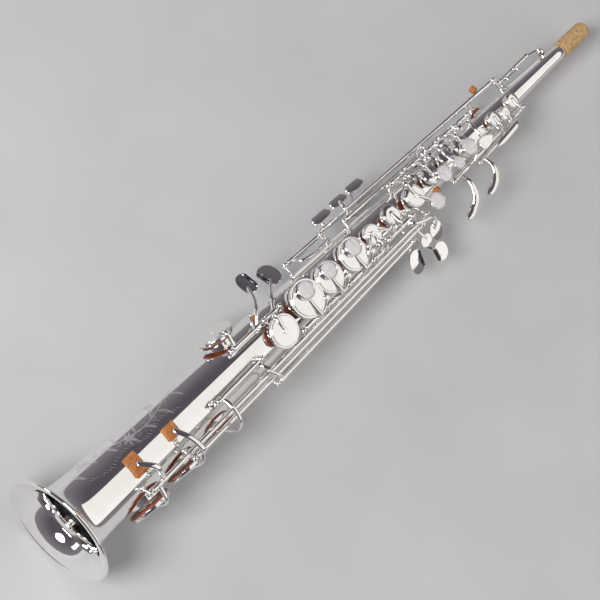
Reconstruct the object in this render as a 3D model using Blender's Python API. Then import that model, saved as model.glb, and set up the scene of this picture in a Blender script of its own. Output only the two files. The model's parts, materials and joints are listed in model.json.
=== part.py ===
"""Straight one-piece soprano saxophone, lying on its back with the keys up.

The design is written in the instrument's own frame, in millimetres: (u, y, z), where u runs
along the tube from the bell rim to the cork, y points to the player's right and z to the
front, where the keys are.  An angle round the tube starts at the front and grows towards the
player's left.  Every object hangs from one empty that tips the instrument onto its two
supports, the bell rim and the thumb hook, and puts the origin under its middle.
"""
import math

import bmesh
import bpy
from mathutils import Matrix, Vector

MM = 0.001

# Tube and bell
LENGTH = 660.0
NECK_RADIUS = 6.1
CONE_SLOPE = 0.0352
CONE_END = 607.0
BELL_RADIUS = 45.0
FLARE_LENGTH = 7.0
RIM_ROLL = 1.5
WALL = 1.1
CORK_START = 626.0
CORK_RADIUS = 7.4
TENON_RADIUS = 5.5
BORE_MIN = 4.4

# Key work
ROD_RADIUS = 2.0
ARM_RADIUS = 1.3
BALL_RADIUS = 2.5
POST_RADIUS = 1.5
POST_GAP = 0.4
SEAT_GAP = 0.3
CHIMNEY_HEIGHT = 2.0
PAD_THICKNESS = 2.5
CUP_THICKNESS = 2.5
CUP_LIP = 0.5
PEARL_THICKNESS = 1.3
PLATE_THICKNESS = 1.5
SMALL_PAD = 7.0

# Number of sides
TUBE_SIDES = 30
CHIMNEY_SIDES = 12
CUP_SIDES = 14
ROD_SIDES = 6
ARM_SIDES = 5
POST_SIDES = 5

# Supports under the back of the instrument
HOOK_U = 345.0
HOOK_DROP = 36.2
HOOK_WIDTH = 20.0
HOOK_PAD = (HOOK_U - 12.0, HOOK_U - 4.0)
TILT = math.atan2(BELL_RADIUS + 1.0 - HOOK_DROP, HOOK_PAD[1] - RIM_ROLL)

SILVER = ((0.86, 0.85, 0.83), 0.08, 1.0)
LEATHER = ((0.36, 0.12, 0.06), 0.6, 0.0)
CORK = ((0.70, 0.42, 0.20), 0.85, 0.0)
PEARL = ((0.86, 0.84, 0.84), 0.2, 0.0)

# Hinge axes run from the bell end to the neck end.  A cup is (u, angle, pad radius).  Arms,
# blades, plates and cups are given with the key closed on its tone hole; feet as they rest.
KEYS = {
    "low_bflat": {
        "axis": ((66, -25.5, 20), (402, -20.3, 10)), "cup": (68, 105, 17), "open": 8,
        "arms": [[(390, 0, 0), (390.3, -19.4, -1), (393, -30, -9), (398, -44, -8.2)]],
        "feet": [[(79, 0, 0), (76, -15, 31), (68, -4, 28.9)]],
        "plates": [((399.5, -47, -7.5), (0, -0.6, 0.8), 7.5, 8)]},
    "low_b": {
        "axis": ((112, -30, 15.5), (396, -24, 6)), "cup": (108, 103, 15.5), "open": 8,
        "arms": [[(392, 0, 0), (392.5, -29, 3), (394, -33, 0.5)]],
        "feet": [[(116, 0, 0), (115, -31, 24.5), (112, -18, 29.5), (107, -5, 27.9)]],
        "plates": [((393.5, -34, -0.5), (0, -0.6, 0.8), 6.3, 5.2)]},
    "low_csharp": {
        "axis": ((150, -12.5, 23.6), (198, -11.5, 22)), "cup": (150, 100, 13), "lift": 8,
        "over": [(155, -24, 25.5), (154, -35, 20), (153, -37.5, 9)],
        "arms": [[(196, 0, 0), (197, -16, 24.5), (199.5, -22, 25.8)]]},
    "low_csharp_lever": {
        "axis": ((206, -33.4, 11), (380, -28.4, 2)), "lift": 8,
        "arms": [[(376, 0, 0), (376, -35, -1), (377, -41, -4)],
                 [(208, 0, 0), (205, -30.5, 19.5), (199.5, -22, 21.6)]],
        "plates": [((376.5, -42, -4), (0, -0.6, 0.8), 8, 11)]},
    "low_c": {
        "axis": ((190, 7.5, 22.4), (222.5, 7.4, 21.2)), "cup": (192, -70, 14.5), "open": 9,
        "arms": [[(218, 0, 0), (224, 16, 23), (234, 24, 16), (240, 31, 8.5)]],
        "plates": [((243, 35, 5.5), (0, 0.4, 0.9), 7, 9.5)]},
    "low_eflat": {
        "axis": ((228.5, 7.4, 21), (241.5, 7.3, 20.5)), "cup": (231, 20, 12.8), "lift": 8,
        "arms": [[(238, 0, 0), (244, 15, 20), (253, 22, 14), (261, 27, 9)]],
        "plates": [((264, 30, 7.5), (0, 0.4, 0.9), 8.5, 10)]},
    "d": {"axis": ((250, -18.5, 16.9), (274, -18.1, 16.2)), "cup": (263, 4, 14.9), "open": 9,
          "pearls": [((264, 4.5, 29), (0, 0, 1), 7.4, (264, 3, 25))]},
    "e": {"axis": ((280, -18, 16), (302, -17.7, 15.4)), "cup": (291, 4, 12.2), "open": 9,
          "pearls": [((291.5, 3.2, 27.8), (0, 0, 1), 7.0, (291.5, 2, 24))]},
    "f": {"axis": ((308, -17.6, 15.2), (333, -17.2, 14.5)), "cup": (321, 4, 13), "open": 9,
          "pearls": [((322, 3.2, 26.8), (0, 0, 1), 7.3, (322, 2, 23))]},
    "fsharp": {"axis": ((339, -17.1, 14.3), (350, -16.9, 14)), "cup": (346.5, 2, 7.8), "open": 9},
    "g_sharp": {
        "axis": ((360, -14, 18.5), (386, -13.5, 17.5)), "cup": (374, 2, 7.8), "lift": 8,
        "arms": [[(381, 0, 0), (384, -19, 20.5), (394, -23, 19.5), (403, -25, 17),
                  (409, -29.5, 8), (409, -33, -1)]],
        "plates": [((409.5, -34.5, -2.5), (0, -0.6, 0.8), 7, 9)]},
    "g": {"axis": ((398, 16.8, 12.6), (411, 16.6, 12.3)), "cup": (401, 12, 9), "open": 8,
          "pearls": [((412.5, -20, 18.5), (0, -0.2, 0.98), 7.3, (403, -7, 19))]},
    "a": {"axis": ((418, 16.4, 12.2), (438, 16.1, 11.7)), "cup": (427, 3, 7.6), "open": 8,
          "pearls": [((434.5, -8.5, 21.5), (0, -0.1, 1), 7.2, (428, -1, 19.3))]},
    "bis": {"axis": ((445, 15.9, 11.6), (456, 15.7, 11.4)), "cup": (450, -4, 6), "open": 8,
            "pearls": [((452.5, -10.5, 20.8), (0, -0.1, 1), 5.6, (450, 1, 18))]},
    "b": {"axis": ((463, 15.6, 11.3), (479, 15.3, 11)), "cup": (470, 6, 8), "open": 8,
          "pearls": [((471, -7, 21), (0, -0.1, 1), 7.4, (471, -3, 18))]},
    "front_f": {
        "axis": ((486, 15.1, 10.8), (497, 14.9, 10.5)), "lift": 8,
        "arms": [[(491, 0, 0), (490, 7, 19.5), (488.5, -9, 20.3)]],
        "plates": [((489, -11.5, 20.5), (0, -0.15, 1), 8.3, 4.5)]},
    "palm_d": {
        "axis": ((452, -17, 5), (517, -13.5, 3.5)), "cup": (514, 10, 5.6), "lift": 8,
        "blades": [[(459, -18, 6), (459, -27, 8), (455, -37, 6), (446, -44, 1), (437, -46.5, 0)]]},
    "palm_eflat": {
        "axis": ((486, -20.5, 2), (529, -17.5, 1)), "cup": (527.5, 25, 5.4), "lift": 8,
        "blades": [[(489, -21, 3), (489, -30, 5), (484, -38, 3), (476, -42.5, 0), (469, -43.5, -1)]]},
    "palm_f": {
        "axis": ((534, -13, 6), (548, -12.3, 5.5)), "cup": (541, 8, 5.8), "lift": 8,
        "blades": [[(537, -13.4, 7), (534, -15, 11), (529, -18, 15), (515, -20, 15.5), (498, -21, 14.5)]]},
    "high_e": {
        "axis": ((330, 27.5, 1.5), (548, 21, 1)), "cup": (520, -125, 5.8), "lift": 8,
        "arms": [[(334, 0, 0), (335, 33, 1.6)]],
        "plates": [((336, 35.5, 4), (0, 0.5, 0.87), 10, 4.5)]},
    "side_c": {
        "axis": ((350, 20.5, 6), (482, 16.4, 4.6)), "cup": (475, -125, 6), "lift": 8,
        "over": [(475, 18.6, -1), (475, 19.3, -7)],
        "arms": [[(353, 0, 0), (354, 28, 9.5), (357, 34.5, 5)]],
        "plates": [((357.5, 35.5, 4), (0, 0.5, 0.87), 9, 4.5)]},
    "side_bflat": {
        "axis": ((368, 26, -6), (455, 23.5, -5.5)), "cup": (447, -125, 6.2), "lift": 8,
        "arms": [[(373, 0, 0), (374.3, 32.4, -2.3), (376.4, 34.6, 2.6)]],
        "plates": [((378, 35.5, 4), (0, 0.5, 0.87), 9.5, 4.5)]},
    "high_fsharp_lever": {
        "axis": ((283, 27, 7), (320, 25.8, 6)), "lift": 6,
        "arms": [[(288, 0, 0), (290, 21, 15), (300, 18.5, 16.5), (312, 18.5, 16.5), (320, 19.5, 15)]]},
    "octave_thumb": {
        "axis": ((468, -8, -15), (500, -7.5, -14)), "lift": 6,
        "arms": [[(475, 0, 0), (471, -3, -17.5)]],
        "plates": [((462, 0, -17.8), (0, 0, -1), 9.5, 5.2)]},
    "body_octave": {"axis": ((506, -7.4, -13.7), (522, -7.2, -13.2)), "cup": (514, 176, 3), "lift": 8},
    "neck_octave": {"axis": ((560, 16, -4), (598, 16.5, -4)), "cup": (607, -80, 3), "lift": 8},
}

# Ends of hinges, as (key, end), that have no post, and those whose post stands at another angle.
UNPOSTED_ENDS = {("neck_octave", 1)}
POST_ANGLES = {("palm_eflat", 0): 115, ("palm_eflat", 1): 115, ("low_csharp_lever", 0): 112}

# Cork strips glued on the tube under the feet of the two bell keys: (u, angle, length, width).
BUMPERS = {"low_bflat_bumper": (68, 8, 11, 38), "low_b_bumper": (106.5, 9, 11, 26)}
BUMPER_THICKNESS = 2.2


def tube_radius(u):
    """Outer radius of the tube and bell at the distance u from the rim."""
    cone = NECK_RADIUS + CONE_SLOPE * max(0.0, CONE_END - u)
    flare = (BELL_RADIUS - NECK_RADIUS - CONE_SLOPE * CONE_END) * math.exp(-u / FLARE_LENGTH)
    return cone + flare


def outward(angle):
    """Unit vector away from the tube's axis at an angle round it, in degrees."""
    a = math.radians(angle)
    return Vector((0.0, -math.sin(a), math.cos(a)))


def frame_from(normal, along=Vector((1.0, 0.0, 0.0))):
    """Rotation whose z column is the normal and whose x column leans along the tube."""
    z = Vector(normal).normalized()
    x = (along - along.dot(z) * z).normalized()
    y = z.cross(x)
    return Matrix((x, y, z)).transposed()


def new_mesh(name, bm):
    bmesh.ops.recalc_face_normals(bm, faces=bm.faces[:])
    mesh = bpy.data.meshes.new(name)
    bm.to_mesh(mesh)
    bm.free()
    return mesh


def bridge(bm, rings, closed=False):
    """Skin a list of vertex rings with quads and cap the two ends."""
    count = len(rings[0])
    pairs = list(zip(rings, rings[1:]))
    if closed:
        pairs.append((rings[-1], rings[0]))
    for low, high in pairs:
        for i in range(count):
            j = (i + 1) % count
            bm.faces.new((low[i], low[j], high[j], high[i]))
    if not closed:
        bm.faces.new(list(reversed(rings[0])))
        bm.faces.new(rings[-1])


def turned(profile, centre, rotation, sides, closed=False):
    """Solid turned about the z column of a rotation from (radius, height) points."""
    bm = bmesh.new()
    rings = []
    for radius, height in profile:
        ring = []
        for k in range(sides):
            a = 2.0 * math.pi * (k + 0.5) / sides
            local = Vector((radius * math.cos(a), radius * math.sin(a), height))
            ring.append(bm.verts.new(Vector(centre) + rotation @ local))
        rings.append(ring)
    bridge(bm, rings, closed)
    return new_mesh("turned", bm)


def swept(points, half_width, half_height, sides, side_axis=None):
    """Bar along a line of points; its section is an ellipse, or a strip when side_axis is set."""
    bm = bmesh.new()
    points = [Vector(p) for p in points]
    rings = []
    for i, point in enumerate(points):
        before = points[max(i - 1, 0)]
        after = points[min(i + 1, len(points) - 1)]
        run = (after - before).normalized()
        guide = Vector(side_axis) if side_axis else Vector((1.0, 0.3, 0.2))
        if abs(run.dot(guide.normalized())) > 0.9 and not side_axis:
            guide = Vector((0.0, 0.3, 1.0))
        side = (guide - guide.dot(run) * run).normalized()
        up = run.cross(side)
        ring = []
        for k in range(sides):
            a = 2.0 * math.pi * (k + 0.5) / sides
            offset = side * (half_width * math.cos(a)) + up * (half_height * math.sin(a))
            ring.append(bm.verts.new(point + offset))
        rings.append(ring)
    bridge(bm, rings)
    return new_mesh("swept", bm)


def oval_plate(centre, normal, half_length, half_width, thickness=PLATE_THICKNESS, sides=12):
    """Flat oval touch piece."""
    bm = bmesh.new()
    rotation = frame_from(normal)
    rings = []
    for height in (-thickness / 2, thickness / 2):
        ring = []
        for k in range(sides):
            a = 2.0 * math.pi * (k + 0.5) / sides
            local = Vector((half_length * math.cos(a), half_width * math.sin(a), height))
            ring.append(bm.verts.new(Vector(centre) + rotation @ local))
        rings.append(ring)
    bridge(bm, rings)
    return new_mesh("plate", bm)


def saddle(u, angle, length, width, low, high, steps=6):
    """Block that lies round the tube: a piece of a ring between two radii."""
    bm = bmesh.new()
    rings = []
    for k in range(steps + 1):
        n = outward(angle - width / 2 + width * k / steps)
        corners = ((u - length / 2, low), (u + length / 2, low),
                   (u + length / 2, high), (u - length / 2, high))
        rings.append([bm.verts.new(Vector((cu, 0.0, 0.0)) + n * radius) for cu, radius in corners])
    bridge(bm, rings)
    return new_mesh("saddle", bm)


def joined(meshes):
    """One mesh that holds several."""
    bm = bmesh.new()
    for mesh in meshes:
        bm.from_mesh(mesh)
    result = bpy.data.meshes.new("joined")
    bm.to_mesh(result)
    bm.free()
    return result


def boolean(base, others, operation):
    """Exact Boolean of a mesh with a list of meshes, which may overlap one another."""
    target = bpy.data.objects.new("base", base)
    cutter = bpy.data.objects.new("cutter", joined(others))
    for item in (target, cutter):
        bpy.context.scene.collection.objects.link(item)
    step = target.modifiers.new("cut", "BOOLEAN")
    step.object = cutter
    step.operation = operation
    step.solver = "EXACT"
    step.use_self = len(others) > 1
    bpy.context.view_layer.update()
    evaluated = target.evaluated_get(bpy.context.evaluated_depsgraph_get())
    result = bpy.data.meshes.new_from_object(evaluated)
    for item in (target, cutter):
        bpy.data.objects.remove(item)
    return result


def material(name, look):
    made = bpy.data.materials.get(name)
    if made is None:
        made = bpy.data.materials.new(name)
        made.use_nodes = True
        shader = made.node_tree.nodes["Principled BSDF"]
        colour, roughness, metallic = look
        shader.inputs["Base Color"].default_value = (*colour, 1.0)
        shader.inputs["Roughness"].default_value = roughness
        shader.inputs["Metallic"].default_value = metallic
    return made


def place(name, mesh, finish, root, pivot=Vector((0.0, 0.0, 0.0)), turn=None):
    """Put a mesh, drawn in the instrument's millimetres, into the scene with its origin at a pivot."""
    if turn is not None:
        mesh.transform(turn)
    mesh.transform(Matrix.Translation(-pivot))
    mesh.transform(Matrix.Scale(MM, 4))
    mesh.name = name
    bm = bmesh.new()
    bm.from_mesh(mesh)
    bmesh.ops.remove_doubles(bm, verts=bm.verts[:], dist=0.00002)
    bmesh.ops.dissolve_degenerate(bm, edges=bm.edges[:], dist=0.00001)
    bmesh.ops.recalc_face_normals(bm, faces=bm.faces[:])
    bm.to_mesh(mesh)
    bm.free()
    mesh.materials.clear()
    mesh.materials.append(material(*finish))
    mesh.shade_smooth()
    mesh.set_sharp_from_angle(angle=math.radians(35.0))
    item = bpy.data.objects.new(name, mesh)
    bpy.context.scene.collection.objects.link(item)
    item.parent = root
    item.location = pivot * MM
    return item


def hinge(key):
    """Ends of a key's hinge tube and its unit direction."""
    low, high = (Vector(p) for p in key["axis"])
    return low, high, (high - low).normalized()


def on_hinge(key, u):
    low, high, _ = hinge(key)
    share = min(max((u - low.x) / (high.x - low.x), 0.02), 0.98)
    return low.lerp(high, share)


def cup_seat(cup):
    """Point on the tube's axis under a cup, its outward direction and its chimney's top radius."""
    u, angle, _ = cup
    return Vector((u, 0.0, 0.0)), outward(angle), tube_radius(u) + CHIMNEY_HEIGHT


def press_sign(key):
    """+1 where turning by the right-hand rule about the hinge presses the key, else -1."""
    low, _, run = hinge(key)
    if "cup" in key:
        base, n, seat = cup_seat(key["cup"])
        motion = run.cross(base + n * seat - low).dot(n)
        pressed_motion = -1.0 if "open" in key else 1.0
        return 1.0 if motion * pressed_motion > 0 else -1.0
    tip = Vector(key["plates"][0][0]) if "plates" in key else Vector(key["arms"][0][-1])
    normal = Vector(key["plates"][0][1]) if "plates" in key else Vector((0.0, 0.0, 1.0))
    return -1.0 if run.cross(tip - low).dot(normal) > 0 else 1.0


def rest_turn(key):
    """Turn that takes a key from closed to where it rests."""
    if "open" not in key:
        return Matrix.Identity(4)
    low, _, run = hinge(key)
    turn = Matrix.Rotation(math.radians(-key["open"] * press_sign(key)), 4, run)
    return Matrix.Translation(low) @ turn @ Matrix.Translation(-low)


def cup_pieces(key):
    """Cup over its tone hole and the arm that carries it, with the key closed."""
    u, angle, pad_radius = key["cup"]
    base, n, seat = cup_seat(key["cup"])
    start = SEAT_GAP
    if pad_radius >= SMALL_PAD:
        start = SEAT_GAP + PAD_THICKNESS + SEAT_GAP
    cup_radius = pad_radius + CUP_LIP
    top = SEAT_GAP + PAD_THICKNESS + SEAT_GAP + CUP_THICKNESS
    rotation = frame_from(n)
    profile = [(cup_radius, start), (cup_radius, top - 0.9), (cup_radius * 0.75, top)]
    cup = turned(profile, base + n * seat, rotation, CUP_SIDES)
    low, high, _ = hinge(key)
    root_point = on_hinge(key, u)
    crown = base + n * (seat + top - 0.3)
    towards = root_point - crown
    towards -= towards.dot(n) * n
    towards.normalize()
    shoulder = crown + towards * (cup_radius + 1.2) + n * 1.3
    line = [root_point, shoulder, crown + n * 0.4]
    if "over" in key:
        line = [on_hinge(key, key["over"][0][0]), *key["over"], crown + n * 0.4]
    arm = swept(line, ARM_RADIUS, ARM_RADIUS, ARM_SIDES)
    return [cup, arm]


def pearl_pieces(centre, normal, radius, stem):
    """Holder under a pearl disc and the stem that joins it to its cup."""
    rotation = frame_from(normal)
    holder = turned([(radius * 0.6, -2.2), (radius, -1.2), (radius, -0.2)], centre, rotation, CUP_SIDES)
    under = Vector(centre) - rotation.col[2] * 1.5
    link = swept([Vector(stem), Vector(stem).lerp(under, 0.5), under], 1.5, 1.5, ARM_SIDES)
    return [holder, link]


def key_solid(name, key):
    """A key brazed into one piece: hinge tube, cup, arms, blades and touch plates."""
    low, high, _ = hinge(key)
    tube = swept([low, high], ROD_RADIUS, ROD_RADIUS, ROD_SIDES)
    closed = []
    if "cup" in key:
        closed += cup_pieces(key)
    plates = key.get("plates", [])
    for number, line in enumerate(key.get("arms", [])):
        tip = [plates[number][0]] if number < len(plates) else []
        points = [on_hinge(key, line[0][0]), *line[1:], *tip]
        closed.append(swept(points, ARM_RADIUS, ARM_RADIUS, ARM_SIDES))
    for line in key.get("blades", []):
        closed.append(swept(line, 0.9, 2.6, 6, (0.0, 0.0, 1.0)) if name == "palm_f"
                      else swept(line, 1.0, 3.0, 6, (0.0, 0.3, 1.0)))
    for centre, normal, half_length, half_width in plates:
        closed.append(oval_plate(centre, normal, half_length, half_width))
    for pearl in key.get("pearls", []):
        closed += pearl_pieces(*pearl)
    turn = rest_turn(key)
    for mesh in closed:
        mesh.transform(turn)
    for line in key.get("feet", []):
        points = [on_hinge(key, line[0][0]), *line[1:]]
        closed.append(swept(points, ARM_RADIUS, ARM_RADIUS, ARM_SIDES))
    return boolean(tube, closed, "UNION")


def make_keys(root):
    for name, key in KEYS.items():
        low, high, _ = hinge(key)
        pivot = low.lerp(high, 0.5)
        place(name + "_key", key_solid(name, key), ("silver", SILVER), root, pivot)
        turn = rest_turn(key)
        if "cup" in key and key["cup"][2] >= SMALL_PAD:
            base, n, seat = cup_seat(key["cup"])
            radius = key["cup"][2]
            profile = [(radius - 0.3, SEAT_GAP), (radius, SEAT_GAP + PAD_THICKNESS)]
            pad = turned(profile, base + n * seat, frame_from(n), CUP_SIDES)
            place(name + "_pad", pad, ("leather", LEATHER), root, pivot, turn)
        for centre, normal, radius, _ in key.get("pearls", []):
            profile = [(radius - 0.5, 0.1), (radius - 0.9, PEARL_THICKNESS)]
            disc = turned(profile, centre, frame_from(normal), CUP_SIDES)
            place(name + "_pearl", disc, ("pearl", PEARL), root, pivot, turn)


def posts():
    """Posts with ball heads, one at each end of each hinge tube."""
    made = []
    taken = []
    for name, key in KEYS.items():
        low, high, run = hinge(key)
        for end, (point, side) in enumerate(((low, -1.0), (high, 1.0))):
            head = point + run * side * (BALL_RADIUS + POST_GAP)
            crowded = any((head - other).length < 2.2 * BALL_RADIUS for other in taken)
            if crowded or (name, end) in UNPOSTED_ENDS:
                continue
            taken.append(head)
            n = Vector((0.0, head.y, head.z)).normalized()
            if (name, end) in POST_ANGLES:
                n = outward(POST_ANGLES[name, end])
            foot = Vector((head.x, 0.0, 0.0)) + n * (tube_radius(head.x) - 0.6)
            reach = (head - foot).length
            profile = [(POST_RADIUS, 0.0), (POST_RADIUS * 0.85, reach - 2.6), (BALL_RADIUS, reach - 1.0),
                       (BALL_RADIUS, reach + 0.9), (1.1, reach + 2.2)]
            made.append(turned(profile, foot, frame_from(head - foot), POST_SIDES))
    return made


def outer_profile():
    """Outside of tube and bell as (radius, distance from the rim) points."""
    rim = [(BELL_RADIUS - RIM_ROLL, 0.0), (BELL_RADIUS + 0.6, 0.5),
           (BELL_RADIUS + 1.0, 1.5), (BELL_RADIUS + 0.2, 2.6)]
    flare = [(tube_radius(u), u) for u in (4.5, 8.0, 13.0, 22.0, 50.0)]
    neck = [(NECK_RADIUS, CONE_END), (NECK_RADIUS, CORK_START - 0.5)]
    tenon = [(TENON_RADIUS, CORK_START - 0.2), (TENON_RADIUS, LENGTH)]
    return rim + flare + neck + tenon


def bore_profile():
    """Inside of tube and bell, running out past both ends."""
    mouth = [(BELL_RADIUS + 2.0, -2.0)]
    flare = [(tube_radius(u) - WALL - 0.4, u) for u in (0.6, 4.5, 8.0, 13.0, 22.0, 50.0)]
    neck = [(NECK_RADIUS - WALL, CONE_END), (BORE_MIN, CORK_START - 1.0), (BORE_MIN, LENGTH + 2.0)]
    return mouth + flare + neck


def make_body(root):
    """Tube, bell, chimneys and posts, soldered into one piece, with the bore and holes open."""
    along = frame_from((1.0, 0.0, 0.0), Vector((0.0, 1.0, 0.0)))
    origin = (0.0, 0.0, 0.0)
    outside = turned(outer_profile(), origin, along, TUBE_SIDES)
    chimneys = []
    holes = []
    for key in KEYS.values():
        if "cup" not in key:
            continue
        base, n, seat = cup_seat(key["cup"])
        pad_radius = key["cup"][2]
        outer = pad_radius * 0.88
        depth = tube_radius(base.x) * 0.5
        rotation = frame_from(n)
        chimneys.append(turned([(outer, depth), (outer, seat)], base, rotation, CHIMNEY_SIDES))
        inner = max(outer - 1.2, 1.2)
        holes.append(turned([(inner, depth * 0.9), (inner, seat + 1.0)], base, rotation, CHIMNEY_SIDES))
    body = boolean(outside, chimneys + posts(), "UNION")
    body = boolean(body, [turned(bore_profile(), origin, along, TUBE_SIDES)], "DIFFERENCE")
    body = boolean(body, holes, "DIFFERENCE")
    place("body_tube", body, ("silver", SILVER), root)


def make_cork(root):
    """Cork sleeve that the mouthpiece pushes onto."""
    low = CORK_START + 0.1
    inside = TENON_RADIUS + SEAT_GAP
    profile = [(inside, low), (CORK_RADIUS - 0.3, low), (CORK_RADIUS, low + 1.0), (CORK_RADIUS, LENGTH - 2.5),
               (CORK_RADIUS - 0.9, LENGTH - 0.6), (inside, LENGTH - 0.3)]
    along = frame_from((1.0, 0.0, 0.0), Vector((0.0, 1.0, 0.0)))
    place("mouthpiece_cork", turned(profile, (0.0, 0.0, 0.0), along, 24, closed=True), ("cork", CORK), root)


def make_bumpers(root):
    """Cork strips under the feet of the open bell keys."""
    for name, (u, angle, length, width) in BUMPERS.items():
        low = tube_radius(u - length / 2) + SEAT_GAP
        block = saddle(u, angle, length, width, low, low + BUMPER_THICKNESS)
        place(name, block, ("cork", CORK), root)


def make_thumb_hook(root):
    """Curved plate for the right thumb; its flat underside carries the instrument when it lies down."""
    top = tube_radius(HOOK_U - 12.0) + SEAT_GAP
    outer = [(HOOK_U + 16.0, -top), (HOOK_U + 16.0, -top - 2.0), (HOOK_U + 9.5, -top - 2.0),
             (HOOK_U + 9.0, -25.0), (HOOK_U + 6.0, -31.0), (HOOK_U + 1.0, -34.8), (HOOK_PAD[1], -HOOK_DROP),
             (HOOK_PAD[0], -HOOK_DROP - 8.0 * math.tan(TILT)), (HOOK_PAD[0], -HOOK_DROP + 2.2),
             (HOOK_U - 4.5, -HOOK_DROP + 2.2),
             (HOOK_U - 0.5, -32.8), (HOOK_U + 3.8, -29.6), (HOOK_U + 6.4, -24.5), (HOOK_U + 7.0, -top - 2.0),
             (HOOK_U - 12.0, -top - 2.0), (HOOK_U - 12.0, -top)]
    bm = bmesh.new()
    rings = []
    for y in (-HOOK_WIDTH / 2, HOOK_WIDTH / 2):
        rings.append([bm.verts.new((u, y, z)) for u, z in outer])
    bridge(bm, rings)
    place("thumb_hook", new_mesh("hook", bm), ("silver", SILVER), root)


def make_thumb_rest(root):
    """Disc for the left thumb on the back of the tube."""
    u = 443.0
    low = tube_radius(u - 8.0) + SEAT_GAP
    profile = [(7.0, low), (8.0, low + 0.8), (8.0, low + 2.2), (6.5, low + 3.0)]
    disc = turned(profile, (u, 0.0, 0.0), frame_from(outward(180.0)), CUP_SIDES)
    place("thumb_rest", disc, ("silver", SILVER), root)


def make_strap_ring(root):
    """Ring for the neck strap, on a small foot."""
    u = 385.0
    low = tube_radius(u - 4.0) + SEAT_GAP
    down = frame_from(outward(180.0))
    foot = turned([(4.0, low), (4.0, low + 1.2), (1.8, low + 2.0), (1.8, low + 4.0)], (u, 0.0, 0.0), down, 12)
    middle = -(low + 3.2 + 5.6)
    across = frame_from((0.0, 1.0, 0.0))
    loop = [(5.6 + 1.2 * math.cos(a), 1.2 * math.sin(a)) for a in (math.pi * (k + 0.5) / 3 for k in range(6))]
    ring = turned(loop, (u, 0.0, middle), across, 14, closed=True)
    place("strap_ring", boolean(foot, [ring], "UNION"), ("silver", SILVER), root)


def settle(root):
    """Tip the instrument onto rim and hook, and bring its base's middle to the world's origin."""
    root.rotation_euler = (0.0, TILT, 0.0)
    bpy.context.view_layer.update()
    meshes = [item for item in bpy.data.objects if item.type == "MESH"]
    corners = [item.matrix_world @ v.co for item in meshes for v in item.data.vertices]
    low = Vector([min(c[i] for c in corners) for i in range(3)])
    high = Vector([max(c[i] for c in corners) for i in range(3)])
    root.location = Vector((-(low.x + high.x) / 2, -(low.y + high.y) / 2, -low.z))


def main():
    for item in list(bpy.data.objects):
        bpy.data.objects.remove(item)
    root = bpy.data.objects.new("saxophone_frame", None)
    bpy.context.scene.collection.objects.link(root)
    make_body(root)
    make_cork(root)
    make_bumpers(root)
    make_thumb_hook(root)
    make_thumb_rest(root)
    make_strap_ring(root)
    make_keys(root)
    settle(root)


main()
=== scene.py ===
"""Looks of a straight one-piece soprano saxophone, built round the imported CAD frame.

The design is drawn in the instrument's own frame, in millimetres: (u, y, z), where u runs along
the tube from the bell rim to the cork, y points to the player's right and z to the front, where
the keys are.  An angle round the tube starts at the front and grows towards the player's left.
PLACEMENT takes those millimetres to the frame's metres.
"""
import json
import math
import random

import bmesh
import bpy
from mathutils import Matrix, Vector


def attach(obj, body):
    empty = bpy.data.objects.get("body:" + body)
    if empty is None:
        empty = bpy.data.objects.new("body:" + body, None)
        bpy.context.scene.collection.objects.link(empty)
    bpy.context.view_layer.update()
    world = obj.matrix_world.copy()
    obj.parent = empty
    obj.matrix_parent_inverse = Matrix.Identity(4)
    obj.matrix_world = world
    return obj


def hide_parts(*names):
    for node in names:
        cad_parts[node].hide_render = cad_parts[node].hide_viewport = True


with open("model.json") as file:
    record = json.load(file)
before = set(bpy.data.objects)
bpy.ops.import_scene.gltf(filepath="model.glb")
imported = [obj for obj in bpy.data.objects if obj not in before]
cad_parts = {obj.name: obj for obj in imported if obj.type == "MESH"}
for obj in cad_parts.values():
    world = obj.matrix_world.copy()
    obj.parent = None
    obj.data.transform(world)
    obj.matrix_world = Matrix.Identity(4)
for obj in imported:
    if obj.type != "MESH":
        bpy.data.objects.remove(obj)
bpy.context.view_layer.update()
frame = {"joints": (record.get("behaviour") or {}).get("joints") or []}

MM = 0.001

# Tube and bell
LENGTH = 660.0
NECK_RADIUS = 6.1
CONE_SLOPE = 0.0352
CONE_END = 607.0
BELL_RADIUS = 45.0
FLARE_LENGTH = 7.0
RIM_ROLL = 1.5
WALL = 1.1
CORK_START = 626.0
CORK_RADIUS = 7.4
TENON_RADIUS = 5.5
BORE_MIN = 4.4
TUBE_SIDES = 112

# Key work
ROD_RADIUS = 1.9
COLLAR_RADIUS = 2.3
BALL_RADIUS = 2.4
POST_GAP = 0.4
SHARED_POST = 5.5
HOLE_SHARE = 0.88
SEAT_GAP = 0.3
CHIMNEY_HEIGHT = 2.0
PAD_THICKNESS = 2.5
CUP_HEIGHT = 5.6
SMALL_PAD = 7.0
PLATE_THICKNESS = 1.5

# Supports under the back of the instrument
HOOK_U = 345.0
HOOK_DROP = 36.2
HOOK_WIDTH = 20.0
HOOK_PAD = (HOOK_U - 12.0, HOOK_U - 4.0)
TILT = math.atan2(BELL_RADIUS + 1.0 - HOOK_DROP, HOOK_PAD[1] - RIM_ROLL)
THUMB_REST_U = 443.0
RING_U = 385.0

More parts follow.
